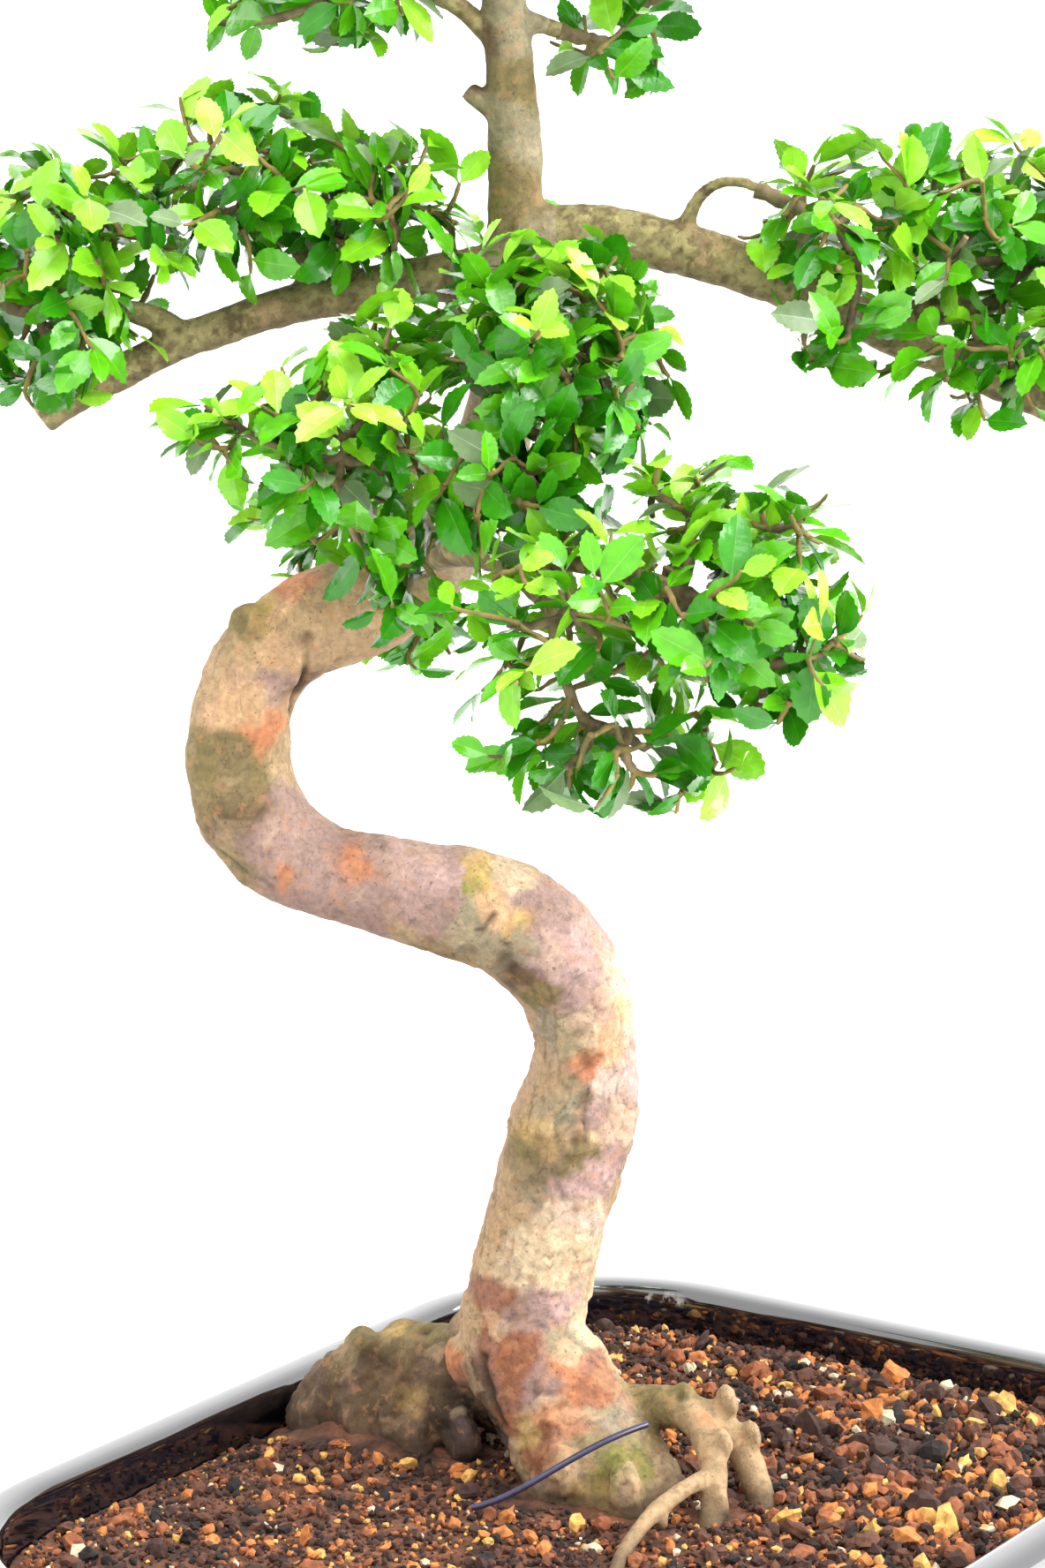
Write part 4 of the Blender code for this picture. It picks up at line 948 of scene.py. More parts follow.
def dress_skin(mesh, bars, on_trunk):
    """Moves the skin by the bark's relief and gives it tones and painted shade."""
    count = len(mesh.vertices)
    flat = np.empty(count * 3)
    mesh.vertices.foreach_get("co", flat)
    places = flat.reshape(-1, 3)
    flat = np.empty(count * 3)
    mesh.vertex_normals.foreach_get("vector", flat)
    normals = flat.reshape(-1, 3)
    lumps, grain, kind, edge, wander = noise_fields(places)
    mm = places * 1000
    girth = girth_at(places, bars)
    flaky = np.full(count, 0.55)
    if on_trunk:
        flaky += np.exp(-(away_from_line(mm, ((-12, 10, 24), (0, 0, 4))) / 26) ** 2)
        flaky += np.exp(-(away_from_line(mm, ((-4, 14, 92), (-4, 14, 68))) / 20) ** 2)
    flaky = np.clip(flaky, 0.0, 1.25)
    raised = smooth_step((kind - 0.02) / 0.05) * smooth_step(edge / 0.09)
    relief = LUMP_LIFT * lumps + GRAIN_LIFT * grain * (0.6 + flaky) + PLATE_LIFT * raised * flaky
    dark = np.zeros(count)
    tone = np.tile(tone_colour("tan" if on_trunk else "lichen") * 1e-4, (count, 1))
    weights = np.full(count, 1e-4)
    if on_trunk:
        rough = mm + wander * 0.8
        for groove in GROOVES:
            dip = np.exp(-(away_from_line(rough, groove.points) / groove.width) ** 2)
            relief -= dip * groove.depth / 1000
            # Painted shade: the bark in a groove is darkened by the groove's dark
            dark = np.maximum(dark, dip * groove.dark)
        for ring in RINGS:
            away = np.linalg.norm(rough - ring.place, axis=1)
            relief += ring.rise / 1000 * np.exp(-((away - ring.radius) / ring.width) ** 2)
            relief -= ring.sink / 1000 * np.exp(-(away / (ring.radius * 0.6)) ** 2)
            # Painted shade: a ring's sunken middle is darkened
            dark = np.maximum(dark, 0.55 * np.exp(-(away / (ring.radius * 0.45)) ** 2))
        mound = np.exp(-(away_from_line(mm, ((-58, 50, 8), (-30, 38, 8))) / 14) ** 2)
        relief += mound * (0.0011 * lumps + 0.0006 * grain)
        wandered = mm + wander * TONE_SHIFT
        for name, marks in TONE_MARKS.items():
            for x, y, z, reach in marks:
                away = np.linalg.norm(wandered - (x, y, z), axis=1) / reach
                weight = np.exp(-TONE_EDGE * away ** 2 / (1.0 + 0.25 * away))
                tone += weight[:, None] * tone_colour(name)
                weights += weight
    tone /= weights[:, None]
    # Between the marks: old bark in patches of olive, tan and grey
    if not on_trunk:
        for name, low, high in (("olive", 0.02, 0.12), ("tan", 0.20, 0.28), ("umber", -0.16, -0.26)):
            share = smooth_step((kind * 0.6 + grain * 0.4 - low) / (high - low)) * 0.75
            tone += share[:, None] * (tone_colour(name) - tone)
    for name, low, high, most in (
            ("peach", 0.12, 0.18, 0.24), ("mauve", -0.10, -0.16, 0.24), ("cream", 0.28, 0.33, 0.26)):
        share = smooth_step((kind - low) / (high - low)) * most * np.clip(flaky - 0.1, 0, 1)
        share = share * smooth_step(girth / 0.004 - 1.0) * on_trunk
        tone += share[:, None] * (tone_colour(name) - tone)
    # Painted shadow: a thin dark line where each raised flake's edge steps down
    lip = np.exp(-(edge / 0.035) ** 2) * smooth_step(abs(kind) / 0.12)
    dark = np.maximum(dark, 0.42 * lip * np.clip(flaky - 0.2, 0, 1))
    # Painted shade: bark that faces down is darkened, on the boughs more than on the trunk, and so is the bark in the
    # last few millimetres above the soil
    under = smooth_step(-normals[:, 2] * 1.4 - 0.1) * (0.42 if not on_trunk else 0.22)
    soil_line = np.exp(-np.clip(mm[:, 2] - 0.5, 0, 99) / 2.2)
    dark = np.clip(np.maximum(np.maximum(dark, under), 0.7 * soil_line), 0.0, 1.0)
    relief *= np.clip(girth / (0.008 if on_trunk else 0.0045), 0.25, 1.0)
    moved = places + normals * relief[:, None]
    moved = np.array([(*TREE @ Vector(place),) for place in moved])
    mesh.vertices.foreach_set("co", moved.ravel())
    layer = mesh.attributes.new("bark_tone", "FLOAT_COLOR", "POINT")
    layer.data.foreach_set("color", np.hstack([tone, np.ones((count, 1))]).ravel())
    # The darkness laid on the mesh here is painted shade: grooves, ring hollows, flake edges, undersides and the bark
    # just above the soil.
    layer = mesh.attributes.new("painted_shade", "FLOAT", "POINT")
    layer.data.foreach_set("value", dark)
    mesh.shade_smooth()
    mesh.update()
    print("relief", round(relief.min() * 1000, 2), "to", round(relief.max() * 1000, 2), "mm")


for name, (mesh, bars) in skins.items():
    dress_skin(mesh, bars, name == "trunk_bark")

# %% [markdown]
# The bark's finish starts from the tones that the mesh carries. Over them
# go flakes of a few millimetres with crisp edges, each a little lighter or
# darker than its neighbour, then a grain of less than a millimetre, pores,
# and umber where the mesh carries painted shade: in grooves, ring hollows,
# under the limbs and just above the soil. Dark lines along the flakes'
# edges are painted shade too. The bump follows the same flakes and grain.

# %% The bark's finish
def bark_material(name, flake_scale, contrast, flush_hex):
    """Bark over the tones of the mesh; the scale is in flakes a metre."""
    made, tree, shader = material(name, Roughness=0.80, IOR=1.42)
    place = add_node(tree, "ShaderNodeTexCoord").outputs["Object"]
    tone_in = add_node(tree, "ShaderNodeAttribute", attribute_name="bark_tone")
    painted_shade = add_node(tree, "ShaderNodeAttribute", attribute_name="painted_shade")
    stir = add_node(tree, "ShaderNodeTexNoise", {"Vector": place}, Scale=230.0, Detail=4.0)
    shift = add_node(tree, "ShaderNodeVectorMath", {0: stir.outputs["Color"]},
                     operation="MULTIPLY_ADD")
    shift.inputs[1].default_value = (0.006, 0.006, 0.006)
    tree.links.new(place, shift.inputs[2])
    flakes = add_node(tree, "ShaderNodeTexVoronoi", {"Vector": shift.outputs[0]},
                      Scale=flake_scale)
    edges = add_node(tree, "ShaderNodeTexVoronoi", {"Vector": shift.outputs[0]},
                     feature="DISTANCE_TO_EDGE", Scale=flake_scale)
    pick = add_node(tree, "ShaderNodeSeparateColor", {"Color": flakes.outputs["Color"]})
    grain = add_node(tree, "ShaderNodeTexNoise", {"Vector": place}, Scale=620.0, Detail=8.0,
                     Roughness=0.68)
    patch = add_node(tree, "ShaderNodeMapRange", {"Value": pick.outputs["Red"]},
                     To_Min=1.0 - contrast, To_Max=1.0 + contrast)
    speckle = add_node(tree, "ShaderNodeMapRange", {"Value": grain.outputs["Fac"]},
                       From_Min=0.32, From_Max=0.68, To_Min=0.70, To_Max=1.26)
    light = add_node(tree, "ShaderNodeMath",
                     {0: patch.outputs["Result"], 1: speckle.outputs["Result"]},
                     operation="MULTIPLY")
    worn = add_node(tree, "ShaderNodeVectorMath",
                    {0: tone_in.outputs["Color"], "Scale": light.outputs[0]}, operation="SCALE")
    blush = add_node(tree, "ShaderNodeTexNoise", {"Vector": place}, Scale=300.0, Detail=6.0,
                     Roughness=0.6)
    blushed = add_node(tree, "ShaderNodeMapRange", {"Value": blush.outputs["Fac"]},
                       From_Min=0.55, From_Max=0.62, To_Max=0.34)
    flushed = add_node(tree, "ShaderNodeMix", {"Factor": blushed.outputs["Result"]},
                       data_type="RGBA")
    flushed.inputs[7].default_value = linear(flush_hex)
    tree.links.new(worn.outputs[0], flushed.inputs[6])
    # Pores and algae: dark flecks of half a millimetre, where the grain dips
    pores = add_node(tree, "ShaderNodeTexNoise", {"Vector": place}, Scale=1150.0, Detail=3.0)
    pore = add_node(tree, "ShaderNodeMapRange", {"Value": pores.outputs["Fac"]},
                    From_Min=0.36, From_Max=0.29, To_Max=0.55)
    # Painted shade: dark lines along the flakes' edges, broken up by the stir noise
    crack = add_node(tree, "ShaderNodeMapRange", {"Value": edges.outputs["Distance"]},
                     From_Min=0.030, From_Max=0.0, To_Max=0.40)
    broken = add_node(tree, "ShaderNodeMapRange", {"Value": stir.outputs["Fac"]},
                      From_Min=0.50, From_Max=0.58)
    cracked = add_node(tree, "ShaderNodeMath",
                       {0: crack.outputs["Result"], 1: broken.outputs["Result"]},
                       operation="MULTIPLY")
    # The painted shade that the mesh carries, with the pores and the dark flake edges, mixes the bark towards umber
    dark = add_node(tree, "ShaderNodeMath",
                    {0: pore.outputs["Result"], 1: painted_shade.outputs["Fac"]}, operation="MAXIMUM")
    dark = add_node(tree, "ShaderNodeMath", {0: dark.outputs[0], 1: cracked.outputs[0]},
                    operation="MAXIMUM")
    barked = add_node(tree, "ShaderNodeMix", {"Factor": dark.outputs[0]}, data_type="RGBA")
    barked.inputs[7].default_value = linear("#2C1E10")
    tree.links.new(flushed.outputs[2], barked.inputs[6])
    tree.links.new(barked.outputs[2], shader.inputs["Base Color"])
    height = add_node(tree, "ShaderNodeMath",
                      {0: pick.outputs["Red"], 2: grain.outputs["Fac"]},
                      operation="MULTIPLY_ADD")
    height.inputs[1].default_value = 0.45
    add_bump(tree, shader, height.outputs[0], 0.75, 0.0005)
    return made


bark = bark_material("smooth_flaking_bark", 210.0, 0.13, "#A97A55")
young_bark = bark_material("bough_bark", 330.0, 0.24, "#A09265")
add_piece("trunk_bark", skins["trunk_bark"][0], [bark], ["trunk"])
add_piece("bough_bark", skins["bough_bark"][0], [young_bark], list(BOUGHS))

# %% [markdown]
# ## Tie wire
# A short end of coated wire lies over the foot of the trunk. It is one bar
# along a Bezier curve, with the cut end left square.

# %% The tie wire
WIRE_RADIUS = 0.0007
WIRE_ROUTE = (
    (-0.0255, -0.0120, 0.0012), (-0.0145, -0.0125, 0.0036),
    (-0.0045, -0.0115, 0.0140), (0.0110, 0.0000, 0.0150),
)
points = interpolate_bezier(*[Vector(place) for place in WIRE_ROUTE], 24)
wire_mesh = bars_mesh("tie_wire", [(points, [WIRE_RADIUS] * len(points))], 14)
wire_mesh.transform(TREE)
wire_mesh.shade_smooth()
wire_mesh.set_sharp_from_angle(angle=math.radians(50))
coat, tree, shader = material("polyethylene_wire_coat", Roughness=0.28, IOR=1.51)
place = add_node(tree, "ShaderNodeTexCoord").outputs["Object"]
scuffs = add_node(tree, "ShaderNodeTexNoise", {"Vector": place}, Scale=500.0, Detail=3.0)
tone = add_node(tree, "ShaderNodeValToRGB", {"Fac": scuffs.outputs["Fac"]})
tone.color_ramp.elements[0].color = linear("#14121F")
tone.color_ramp.elements[1].color = linear("#3A3658")
tree.links.new(tone.outputs["Color"], shader.inputs["Base Color"])
add_bump(tree, shader, scuffs.outputs["Fac"], 0.2, 0.0002)
add_piece("wire", wire_mesh, [coat], ["tie_wire"])

# %% [markdown]
# ## Grit
# Each crumb is a ball of twenty flat faces, knocked out of true, turned and
# stretched, and hundreds are joined to a piece of one colour. A jittered
# grid spreads them, so that no bald place is left, and larger crumbs of
# baked clay lie more to the right, where watering has left them.

# %% Crumbs of grit
def joined_copies(name, copies):
    """One mesh of many copies: each a template and a matrix for it."""
    places = []
    faces = []
    kinds = []
    base = 0
    for template, turn in copies:
        points, corners, slots = template
        turn = np.array(turn)
        places.append(points @ turn[:3, :3].T + turn[:3, 3])
        faces.extend([[base + c for c in face] for face in corners])
        kinds.extend(slots)
        base += len(points)
    mesh = bpy.data.meshes.new(name)
    mesh.from_pydata(np.concatenate(places).tolist(), [], faces)
    mesh.polygons.foreach_set("material_index", kinds)
    mesh.update()
    return mesh


def template_of(bm):
    """A bmesh as plain arrays, to be copied many times."""
    bm.verts.index_update()
    points = np.array([vert.co for vert in bm.verts])
    corners = [[vert.index for vert in face.verts] for face in bm.faces]
    slots = [face.material_index for face in bm.faces]
    bm.free()
    return points, corners, slots


def crumb(detail, rng):
    """A ball of a few faces, knocked out of true."""
    bm = bmesh.new()
    bmesh.ops.create_icosphere(bm, subdivisions=detail, radius=0.5)
    for vert in bm.verts:
        vert.co *= rng.uniform(0.66, 1.22)
    return template_of(bm)


class Bars:
    """Round bars along paths, to test how clear of them places are."""

    def __init__(self, paths):
        starts = []
        ends = []
        reach = []
        for points, radii in paths:
            starts.extend(points[:-1])
            ends.extend(points[1:])
            reach.extend(max(pair) for pair in zip(radii, radii[1:]))
        self.starts = np.array(starts)
        self.spans = np.array(ends) - self.starts
        self.reach = np.array(reach)
        self.squares = (self.spans ** 2).sum(axis=1)

    def room(self, places):
        """How far each place is from the nearest bar's side."""
        offset = places[:, None, :] - self.starts
        along = np.clip((offset * self.spans).sum(axis=2) / self.squares, 0.0, 1.0)
        away = offset - along[:, :, None] * self.spans
        return (np.sqrt((away ** 2).sum(axis=2)) - self.reach).min(axis=1)


GRIT = {
    "loam_crumbs": ("#341D14", 0.31), "bark_crumbs": ("#51301F", 0.25),
    "red_clay_crumbs": ("#7E482A", 0.14), "baked_clay_crumbs": ("#AE6A35", 0.115),
    "ochre_crumbs": ("#C2934C", 0.050), "pumice_crumbs": ("#C3B293", 0.025),
    "charcoal_crumbs": ("#170E0B", 0.110),
}
# Spacing, least and greatest size in millimetres, faces by detail, how far
# warm colours are favoured, and the share of places that are filled
GRIT_LAYERS = (
    (2.25, 1.4, 3.3, 1, 0.85, 1.25), (5.4, 3.2, 6.6, 2, 1.8, 0.42),
    (2.0, 0.7, 1.6, 1, 1.0, 1.2), (3.8, 2.2, 4.8, 1, 1.1, 0.75))
WARM = ("red_clay_crumbs", "baked_clay_crumbs", "ochre_crumbs")
rng = random.Random(7)
crumbs = {detail: [crumb(detail, rng) for _ in range(10)] for detail in (1, 2)}
foot_bars = Bars(trunk_bars)
dealt = {name: [] for name in GRIT}
for spacing, least, most, detail, warmth, filled in GRIT_LAYERS:
    columns = round(POT_LENGTH * 1000 / spacing)
    rows = round(POT_WIDTH * 1000 / spacing)
    for cell in range(columns * rows):
        x = ((cell % columns + rng.random()) / columns - 0.5) * POT_LENGTH
        y = ((cell // columns + rng.random()) / rows - 0.5) * POT_WIDTH
        size = least + (most - least) * rng.random() ** 1.9
        spot = TREE.inverted() @ Vector((x, y, SOIL_TOP))
        right = min(max(spot.x / 0.06, 0.0), 1.0)
        wall = outline_distance(x, y, BED_INSET)
        if rng.random() > filled * (0.75 + 0.60 * right):
            continue
        size = size / 1000 * (0.85 + 0.35 * right)
        size *= min(1.0, 0.55 - wall / 0.030)
        if wall > -size * 0.5:
            continue
        if foot_bars.room(np.array([spot]))[0] < size * 0.2:
            continue
        clump = noise.noise(Vector((x, y, 3.0)) / 0.009)
        pull = {
            name: share * (warmth * (1.0 + 1.5 * clump) if name in WARM else 1.0 - 0.7 * clump)
            for name, (_, share) in GRIT.items()
        }
        kind = rng.choices(list(pull), list(pull.values()))[0]
        height = soil_height(x, y) + size * rng.uniform(0.08, 0.36)
        turn = Matrix.Rotation(rng.uniform(0, 6.28), 3, Vector((
            rng.uniform(-1, 1), rng.uniform(-1, 1), rng.uniform(0.1, 1)))).to_4x4()
        stretch = Matrix.Diagonal((
            size * rng.uniform(0.8, 1.35), size * rng.uniform(0.6, 1.0),
            size * rng.uniform(0.45, 0.85), 1.0))
        dealt[kind].append((
            rng.choice(crumbs[detail]), Matrix.Translation((x, y, height)) @ turn @ stretch))
for name, (hex_colour, _) in GRIT.items():
    grit, tree, shader = material(name, Roughness=0.92)
    place = add_node(tree, "ShaderNodeTexCoord").outputs["Object"]
    dust = add_node(tree, "ShaderNodeTexNoise", {"Vector": place}, Scale=520.0, Detail=4.0)
    dusted = add_node(tree, "ShaderNodeMapRange", {"Value": dust.outputs["Fac"]},
                      From_Min=0.3, From_Max=0.7, To_Min=0.6, To_Max=1.35)
    colour = add_node(tree, "ShaderNodeVectorMath", {"Scale": dusted.outputs["Result"]},
                      operation="SCALE")
    colour.inputs[0].default_value = linear(hex_colour)[:3]
    tree.links.new(colour.outputs[0], shader.inputs["Base Color"])
    add_bump(tree, shader, dust.outputs["Fac"], 0.5, 0.0005)
    add_piece(name, joined_copies(name, dealt[name]), [grit], [])
print(sum(len(v) for v in dealt.values()), "crumbs")

# %% [markdown]
# ## How the twigs grow
# The rule is the CAD's: places are spread through each lobe on a golden-angle
# spiral, and each is reached by a twig from the nearest place that has
# grown already, so a mass branches out from the tip of its bough. Here it
# is carried further, to finer shoots that bend towards the light.

# %% Twigs
SEED = 41
MAIN_TWIGS = 9
SHOOTS = 46
LEADERS = 12
BARE_TWIGS = 5
MINGLE = 0.25
STEM_RADIUS = 0.0015
TWIG_SPACING = 0.0035
SHORTEST = 0.0045
GAP = 0.0003
CUT_LENGTH = 0.0004
KNOBBLE = 0.14


def depth_in(places, lobes):
    """Scaled distance to the nearest lobe's centre: 1 on its skin."""
    centres, radii = lobes
    scaled = (places[:, None, :] - centres) / radii
    return np.sqrt((scaled ** 2).sum(axis=2)).min(axis=1)


def lobe_arrays(lobes):
    return (np.array([lobe.centre for lobe in lobes]),
            np.array([lobe.radii for lobe in lobes]))


def spiral_places(lobe, count, inner, spread, rng):
    """Places spread evenly through a lobe on a golden-angle spiral."""
    places = []
    for index in range(count):
        level = 1.0 - 2.0 * (index + 0.5) / count
        angle = index * math.pi * (3.0 - math.sqrt(5.0)) + rng.uniform(-0.3, 0.3)
        ring = math.sqrt(1.0 - level * level)
        outwards = inner + spread * ((index * 0.618) % 1.0)
        direction = (ring * math.cos(angle), ring * math.sin(angle), level)
        places.append(Vector([
            middle + half * part * outwards
            for middle, half, part in zip(lobe.centre, lobe.radii, direction)]))
    return places


class Growth:
    """The twigs and leaves of one mass."""

    def __init__(self, name, stem, limbs):
        mass = MASSES[name]
        self.own = lobe_arrays(mass.lobes)
        self.others = lobe_arrays([
            lobe for other, one in MASSES.items() if other != name for lobe in one.lobes])
        self.heart = Vector(np.mean(self.own[0], axis=0))
        self.limbs = limbs
        self.rng = random.Random(SEED + list(MASSES).index(name))
        self.nodes = []
        self.twigs = []
        self.spots = []
        self.leaves = []
        heading = (stem[1] - stem[0]).normalized()
        self.add_twig(stem, heading, (STEM_RADIUS * 1.25, STEM_RADIUS * 0.8), "old")

    def jitter(self, size):
        return Vector([self.rng.uniform(-size, size) for _ in range(3)])

    def add_twig(self, points, heading, radii, kind):
        """A tapering twig, and the places where others may leave it."""
        sizes = [
            (radii[0] + (radii[1] - radii[0]) * step / (len(points) - 1))
            * (1.0 + KNOBBLE * (-1) ** step)
            for step in range(len(points))]
        self.twigs.append((points, sizes, kind))
        for start, end in zip(points, points[1:]):
            along = (end - start).normalized()
            count = max(1, round((end - start).length / TWIG_SPACING))
            for step in range(1, count + 1):
                self.nodes.append((start.lerp(end, step / count), along))

    def in_space(self, places, skin):
        """True where the places lie in the mass's own part of the crown."""
        own = depth_in(places, self.own)
        if (own > skin).any():
            return False
        return not (depth_in(places, self.others) < own - MINGLE).any()

    def add_shoot(self, end, radii, kind, skin, steps):
        """A bent twig from the nearest grown place to the end, if it has room."""
        node, along = min(self.nodes, key=lambda item: (item[0] - end).length)
        length = (end - node).length
        if length < SHORTEST:
            return None
        straight = (end - node).normalized()
        leave = (straight + along * 0.7 + self.jitter(0.25)).normalized()
        arrive = (straight + Vector((0, 0, 0.5)) + self.jitter(0.2)).normalized()
        points = interpolate_bezier(
            node, node + leave * length * 0.35, end - arrive * length * 0.30, end, steps)
        spots = np.array(points[1:])
        if not self.in_space(spots, skin):
            return None
        if self.limbs.room(spots[1:]).min() < radii[0]:
            return None
        if kind == "bare":
            tip = (points[-1] - points[-2]).normalized() * CUT_LENGTH
            self.twigs.append(([end - tip * 0.2, end + tip], [radii[1] * 0.97] * 2, "cut"))
        self.add_twig(points, along, radii, "old" if kind == "bare" else kind)
        return points


twig_paths = {name: limb_path(limb) for name, limb in BOUGHS.items()}
twig_paths["trunk"] = trunk
stems = {}
for name, mass in MASSES.items():
    points, _ = twig_paths[mass.bough]
    heading = (points[-1] - points[-2]).normalized()
    start = points[-1] - heading * 0.0015
    heart = Vector(mass.lobes[0].centre)
    stems[name] = interpolate_bezier(
        start, start + heading * 0.006, heart.lerp(start, 0.35), heart, 8)
growths = {}
for name, mass in MASSES.items():
    others = [
        (stem, [STEM_RADIUS + GAP] * len(stem))
        for other, stem in stems.items() if other != name]
    growth = Growth(name, stems[name], Bars(list(twig_paths.values()) + others))
    growths[name] = growth
    sizes = [np.prod(lobe.radii) ** (2 / 3) for lobe in mass.lobes]
    fullness = mass.share * sum(sizes) / 0.00056
    growth.shoots = []
    for inner, spread, number, radii, kind, skin in (
            (0.34, 0.34, MAIN_TWIGS, (0.0012, 0.0008), "old", 1.0),
            (0.50, 0.42, SHOOTS, (0.00074, 0.00044), "shoot", 1.02),
            (0.98, 0.26, LEADERS, (0.00060, 0.00034), "shoot", 1.30),
            (0.55, 0.50, BARE_TWIGS, (0.00085, 0.00065), "bare", 1.12)):
        ends = []
        for lobe, size in zip(mass.lobes, sizes):
            share = max(2, round(number * fullness * size / sum(sizes)))
            ends.extend(spiral_places(lobe, share, inner, spread, growth.rng))
        ends.sort(key=lambda place: (place - stems[name][0]).length)
        for end in ends:
            points = growth.add_shoot(end, radii, kind, skin, 6)
            if points and kind != "bare":
                growth.shoots.append((points, kind))
print(sum(len(g.shoots) for g in growths.values()), "shoots")

# %% [markdown]
# ## One leaf
# A leaf is eleven to nineteen millimetres long, widest a little below its
# middle, with fine forward teeth. It starts as a grid of three rows: blade,
# midrib, blade. The rows are drawn in to the leaf's outline, every second
# point of the margin is pushed out and forward to a tooth, and the blade is
# folded along the midrib and bent down towards its tip. Eight of them with
# other folds and bends keep the crown from looking stamped.

# %% Leaf shapes
LEAF_SEGMENTS = 17
STALK = 0.11


def leaf_template(width, fold, bend, twist, wave):
    """A leaf one metre long, its stalk's foot at the origin, tip at +X."""
    bm = bmesh.new()
    bmesh.ops.create_grid(bm, x_segments=LEAF_SEGMENTS, y_segments=3, size=0.5)
    for face in bm.faces:
        middle = face.calc_center_median()
        face.material_index = 1 if abs(middle.y) < 0.1 or middle.x < STALK - 0.5 - 0.03 else 0
    for vert in bm.verts:
        station = round((vert.co.x + 0.5) * LEAF_SEGMENTS)
        along = station / LEAF_SEGMENTS
        side = 1.0 if vert.co.y > 0 else -1.0
        on_margin = abs(vert.co.y) > 0.3
        rib = 0.014 * (1.0 - along) + 0.002
        blade = max(0.0, (along - STALK) / (1.0 - STALK))
        outline = width * math.sin(math.pi * blade ** 0.92) ** 0.72 if 0 < blade < 1 else 0.0
        forward = 0.0
        if on_margin and 0.05 < blade < 0.97:
            tooth = station % 2
            outline += 0.008 if tooth else -0.011
            forward = 0.026 if tooth else -0.006
        reach = rib + max(outline, 0.006) if on_margin else rib
        if along >= 0.999:
            reach = 0.006 if on_margin else 0.002
        flat_x = along + forward
        lift = fold * (reach - rib) - bend * flat_x ** 2
        lift += wave * math.sin(along * 11.0 + side) * (reach - rib)
        turned = Matrix.Rotation(twist * flat_x, 3, "X") @ Vector((0.0, side * reach, lift))
        vert.co = Vector((flat_x - 0.25 * bend * flat_x ** 2, turned.y, turned.z))
    return template_of(bm)


rng = random.Random(3)
LEAF_SHAPES = [
    leaf_template(
        rng.uniform(0.215, 0.280), rng.uniform(0.10, 0.42), rng.uniform(0.02, 0.30),
        rng.uniform(-0.35, 0.35), rng.uniform(0.02, 0.10))
    for _ in range(8)]
print("a leaf has", len(LEAF_SHAPES[0][1]), "faces")

# %% [markdown]
# ## Leaves in sprays
# Leaves stand left and right along a shoot in one plane that faces the
# light, which is up and outwards, and each leaf looks for a lie where it
# touches no other. Young leaves at a shoot's end are smaller. A colour is
# dealt to each spray: fresh at the outside and on top, deep inside and
# low, partly as fresh growth and partly as painted light and shade, and
# now and then an old leaf that has gone dull.

# %% Leaves
LEAF_NODES = 0.0034
LEAF_SKIN = 1.42
LEAF_APART = 0.0010
LEAF_TRIES = 9
LEAF_SIZES = (0.0082, 0.0168)
# Old wood that has lost most of its leaves: a place and how far it reaches
BARE_WOOD = (((0.002, -0.060, 0.1790), 0.017), ((0.020, -0.064, 0.1740), 0.012))
BARE_SHARE = 0.75
Leaf = namedtuple("Leaf", "shape matrix kind")
SAMPLES = [Vector((x, y, 0.0)) for x in (0.35, 0.65, 0.95) for y in (-0.16, 0.16)]
SAMPLES[-1] = Vector((1.0, 0.0, 0.0))


def leaf_lie(root, along, facing, length):
    """The matrix that lays a leaf of one metre along a direction."""
    side = facing.cross(along).normalized()
    normal = along.cross(side).normalized()
    turn = Matrix((along, side, normal)).transposed().to_4x4()
    return Matrix.Translation(root) @ turn @ Matrix.Diagonal((length, length, length, 1.0))


def spray_kind(depth, height, rng):
    """Which green a spray has: lighter the further out and higher it sits, partly fresh growth and partly painted
    light and shade.
    """
    light = 0.55 * (depth - 0.75) + 0.25 * height + rng.uniform(-0.30, 0.30)
    for kind, limit in (("fresh", 0.30), ("bright", 0.10), ("mid", -0.12)):
        if light > limit:
            return kind
    return "deep"


def add_leaf(growth, root, along, sign, facing, length, kind):
    """Tries some lies for one leaf and keeps the one with most room."""
    rng = growth.rng
    for middle, reach in BARE_WOOD:
        if (root - Vector(middle)).length < reach and rng.random() < BARE_SHARE:
            return
    best = None
    for _ in range(LEAF_TRIES):
        spread = math.radians(rng.uniform(34, 74)) * sign
        lie_facing = (facing + growth.jitter(0.42)).normalized()
        side = lie_facing.cross(along)
        if side.length < 0.1:
            continue
        out = along * math.cos(spread) + side.normalized() * math.sin(spread)
        out = (out + Vector((0, 0, rng.uniform(-0.30, 0.20)))).normalized()
        lie = leaf_lie(root, out, lie_facing, length)
        spots = np.array([lie @ sample for sample in SAMPLES])
        if not growth.in_space(spots, LEAF_SKIN):
            continue
        if growth.limbs.room(spots).min() < 0.0005:
            continue
        room = 1.0
        if growth.spots:
            grown = np.concatenate(growth.spots)
            room = np.sqrt(((spots[:, None, :] - grown) ** 2).sum(axis=2)).min()
        if best is None or room > best[0]:
            best = (room, lie, spots)
        if room > LEAF_APART * 2.2:
            break
    if best is None or best[0] < LEAF_APART:
        return
    growth.spots.append(best[2])
    growth.leaves.append(Leaf(rng.randrange(len(LEAF_SHAPES)), best[1], kind))


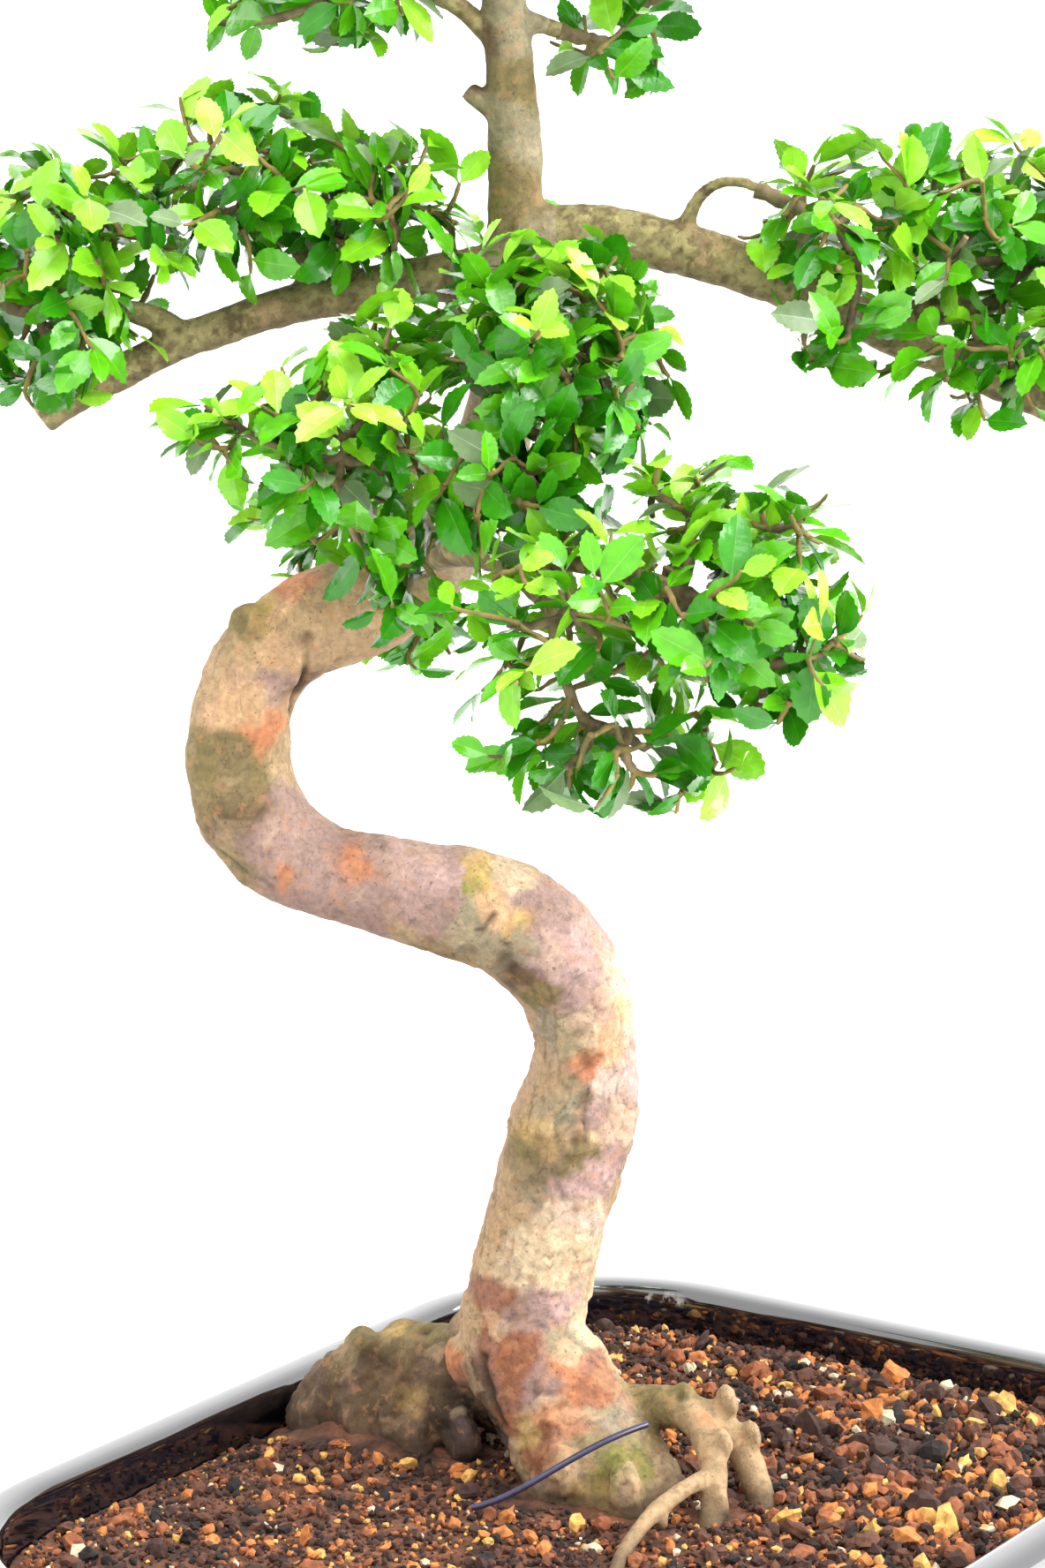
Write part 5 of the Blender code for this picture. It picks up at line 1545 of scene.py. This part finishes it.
for name, growth in growths.items():
    rng = growth.rng
    for points, age in growth.shoots:
        tip = points[-1]
        heading = (points[-1] - points[-2]).normalized()
        outwards = (tip - growth.heart).normalized()
        facing = Vector((0, 0, 0.55)) + outwards * 0.75 + growth.jitter(0.4)
        facing.normalize()
        depth = float(depth_in(np.array([tip]), growth.own)[0])
        kind = spray_kind(depth, outwards.z, rng)
        vigour = rng.uniform(0.75, 1.0)
        length = sum((b - a).length for a, b in zip(points, points[1:]))
        count = max(2, round(length / LEAF_NODES))
        sign = rng.choice((-1, 1))
        for place in range(count):
            first = 0.55 if age == "old" else 0.34
            along = first + (0.96 - first) * place / max(1, count - 1)
            step = min(int(along * (len(points) - 1)), len(points) - 2)
            root = points[step].lerp(points[step + 1], along * (len(points) - 1) - step)
            direction = (points[step + 1] - points[step]).normalized()
            young = place / max(1, count)
            size = LEAF_SIZES[0] + (LEAF_SIZES[1] - LEAF_SIZES[0]) * rng.random() * vigour
            size *= 1.0 - 0.22 * young
            one = kind
            if rng.random() < 0.06:
                one = "dull"
            elif rng.random() < 0.18:
                one = rng.choice(("bright", "mid", "deep"))
            add_leaf(growth, root, direction, sign, facing, size, one)
            sign = -sign
        size = LEAF_SIZES[0] + (LEAF_SIZES[1] - LEAF_SIZES[0]) * rng.random() * 0.6
        young_kind = "fresh" if kind in ("fresh", "bright") and rng.random() < 0.6 else kind
        add_leaf(growth, tip - heading * 0.0004, heading, rng.uniform(-0.4, 0.4),
                 facing, size * 0.9, young_kind)
print(sum(len(g.leaves) for g in growths.values()), "leaves")

# %% [markdown]
# A leaf's upper side is waxy: a low roughness over plain green, with a fine
# unevenness between the veins that breaks up the shine. The midrib is a
# paler green of its own. Each green is one plain colour with a slight
# mottle. Which green a leaf gets is dealt out by where its spray sits, so
# the lighter greens outside and on top are partly painted light.

# %% Leaf greens
GREENS = {
    "fresh": ("#8CC832", "#A2CE56", 0.26), "bright": ("#73B71C", "#8ABD40", 0.23),
    "mid": ("#4C9A0E", "#68A630", 0.21), "deep": ("#2A7808", "#428424", 0.22),
    "dull": ("#62794F", "#85967A", 0.40),
}
foliage_nodes = list(MASSES)


def inside_cad(leaf):
    """True where the whole leaf lies within the CAD model's box."""
    turn = np.array(TREE @ leaf.matrix)
    points = LEAF_SHAPES[leaf.shape][0] @ turn[:3, :3].T + turn[:3, 3]
    return bool((points >= np.array(cad_low)).all() and (points <= np.array(cad_high)).all())


every_leaf = [leaf for growth in growths.values() for leaf in growth.leaves]
kept_leaves = [leaf for leaf in every_leaf if inside_cad(leaf)]
print(len(every_leaf) - len(kept_leaves), "leaves past the CAD box are left out")
for kind, (blade_hex, rib_hex, roughness) in GREENS.items():
    finishes = []
    for part, hex_colour in (("blade", blade_hex), ("midrib", rib_hex)):
        leaf, tree, shader = material(f"{kind}_leaf_{part}", Roughness=roughness, IOR=1.47)
        place = add_node(tree, "ShaderNodeTexCoord").outputs["Object"]
        veins = add_node(tree, "ShaderNodeTexNoise", {"Vector": place}, Scale=420.0,
                         Detail=2.0)
        tint = add_node(tree, "ShaderNodeMapRange", {"Value": veins.outputs["Fac"]},
                        From_Min=0.3, From_Max=0.7, To_Min=0.86, To_Max=1.14)
        colour = add_node(tree, "ShaderNodeVectorMath", {"Scale": tint.outputs["Result"]},
                          operation="SCALE")
        colour.inputs[0].default_value = linear(hex_colour)[:3]
        tree.links.new(colour.outputs[0], shader.inputs["Base Color"])
        add_bump(tree, shader, veins.outputs["Fac"], 0.22, 0.0008)
        finishes.append(leaf)
    copies = [
        (LEAF_SHAPES[leaf.shape], TREE @ leaf.matrix)
        for leaf in kept_leaves if leaf.kind == kind]
    mesh = joined_copies(f"{kind}_leaves", copies)
    mesh.shade_smooth()
    add_piece(f"{kind}_leaves", mesh, finishes, foliage_nodes)

# %% [markdown]
# The twigs of all masses are joined by age. Old twigs have grey-brown bark
# like the boughs; this year's shoots are still orange-brown.

# %% Twig bark
TWIG_BARKS = {
    "old": ("#7E6E4C", "#463A24"), "shoot": ("#867038", "#59522A"), "cut": ("#C0A47C", "#8F7350"),
}
for kind, (light_hex, dark_hex) in TWIG_BARKS.items():
    paths = [
        (points, sizes) for growth in growths.values()
        for points, sizes, one in growth.twigs if one == kind]
    mesh = bars_mesh(f"{kind}_twigs", paths, 6)
    mesh.transform(TREE)
    mesh.shade_smooth()
    mesh.set_sharp_from_angle(angle=math.radians(60))
    rind, tree, shader = material(f"{kind}_twig_bark", Roughness=0.75)
    place = add_node(tree, "ShaderNodeTexCoord").outputs["Object"]
    streak = add_node(tree, "ShaderNodeTexNoise", {"Vector": place}, Scale=260.0, Detail=4.0)
    tone = add_node(tree, "ShaderNodeValToRGB", {"Fac": streak.outputs["Fac"]})
    tone.color_ramp.elements[0].position = 0.35
    tone.color_ramp.elements[0].color = linear(dark_hex)
    tone.color_ramp.elements[1].position = 0.65
    tone.color_ramp.elements[1].color = linear(light_hex)
    tree.links.new(tone.outputs["Color"], shader.inputs["Base Color"])
    add_bump(tree, shader, streak.outputs["Fac"], 0.4, 0.0004)
    add_piece(f"{kind}_twigs", mesh, [rind], foliage_nodes)
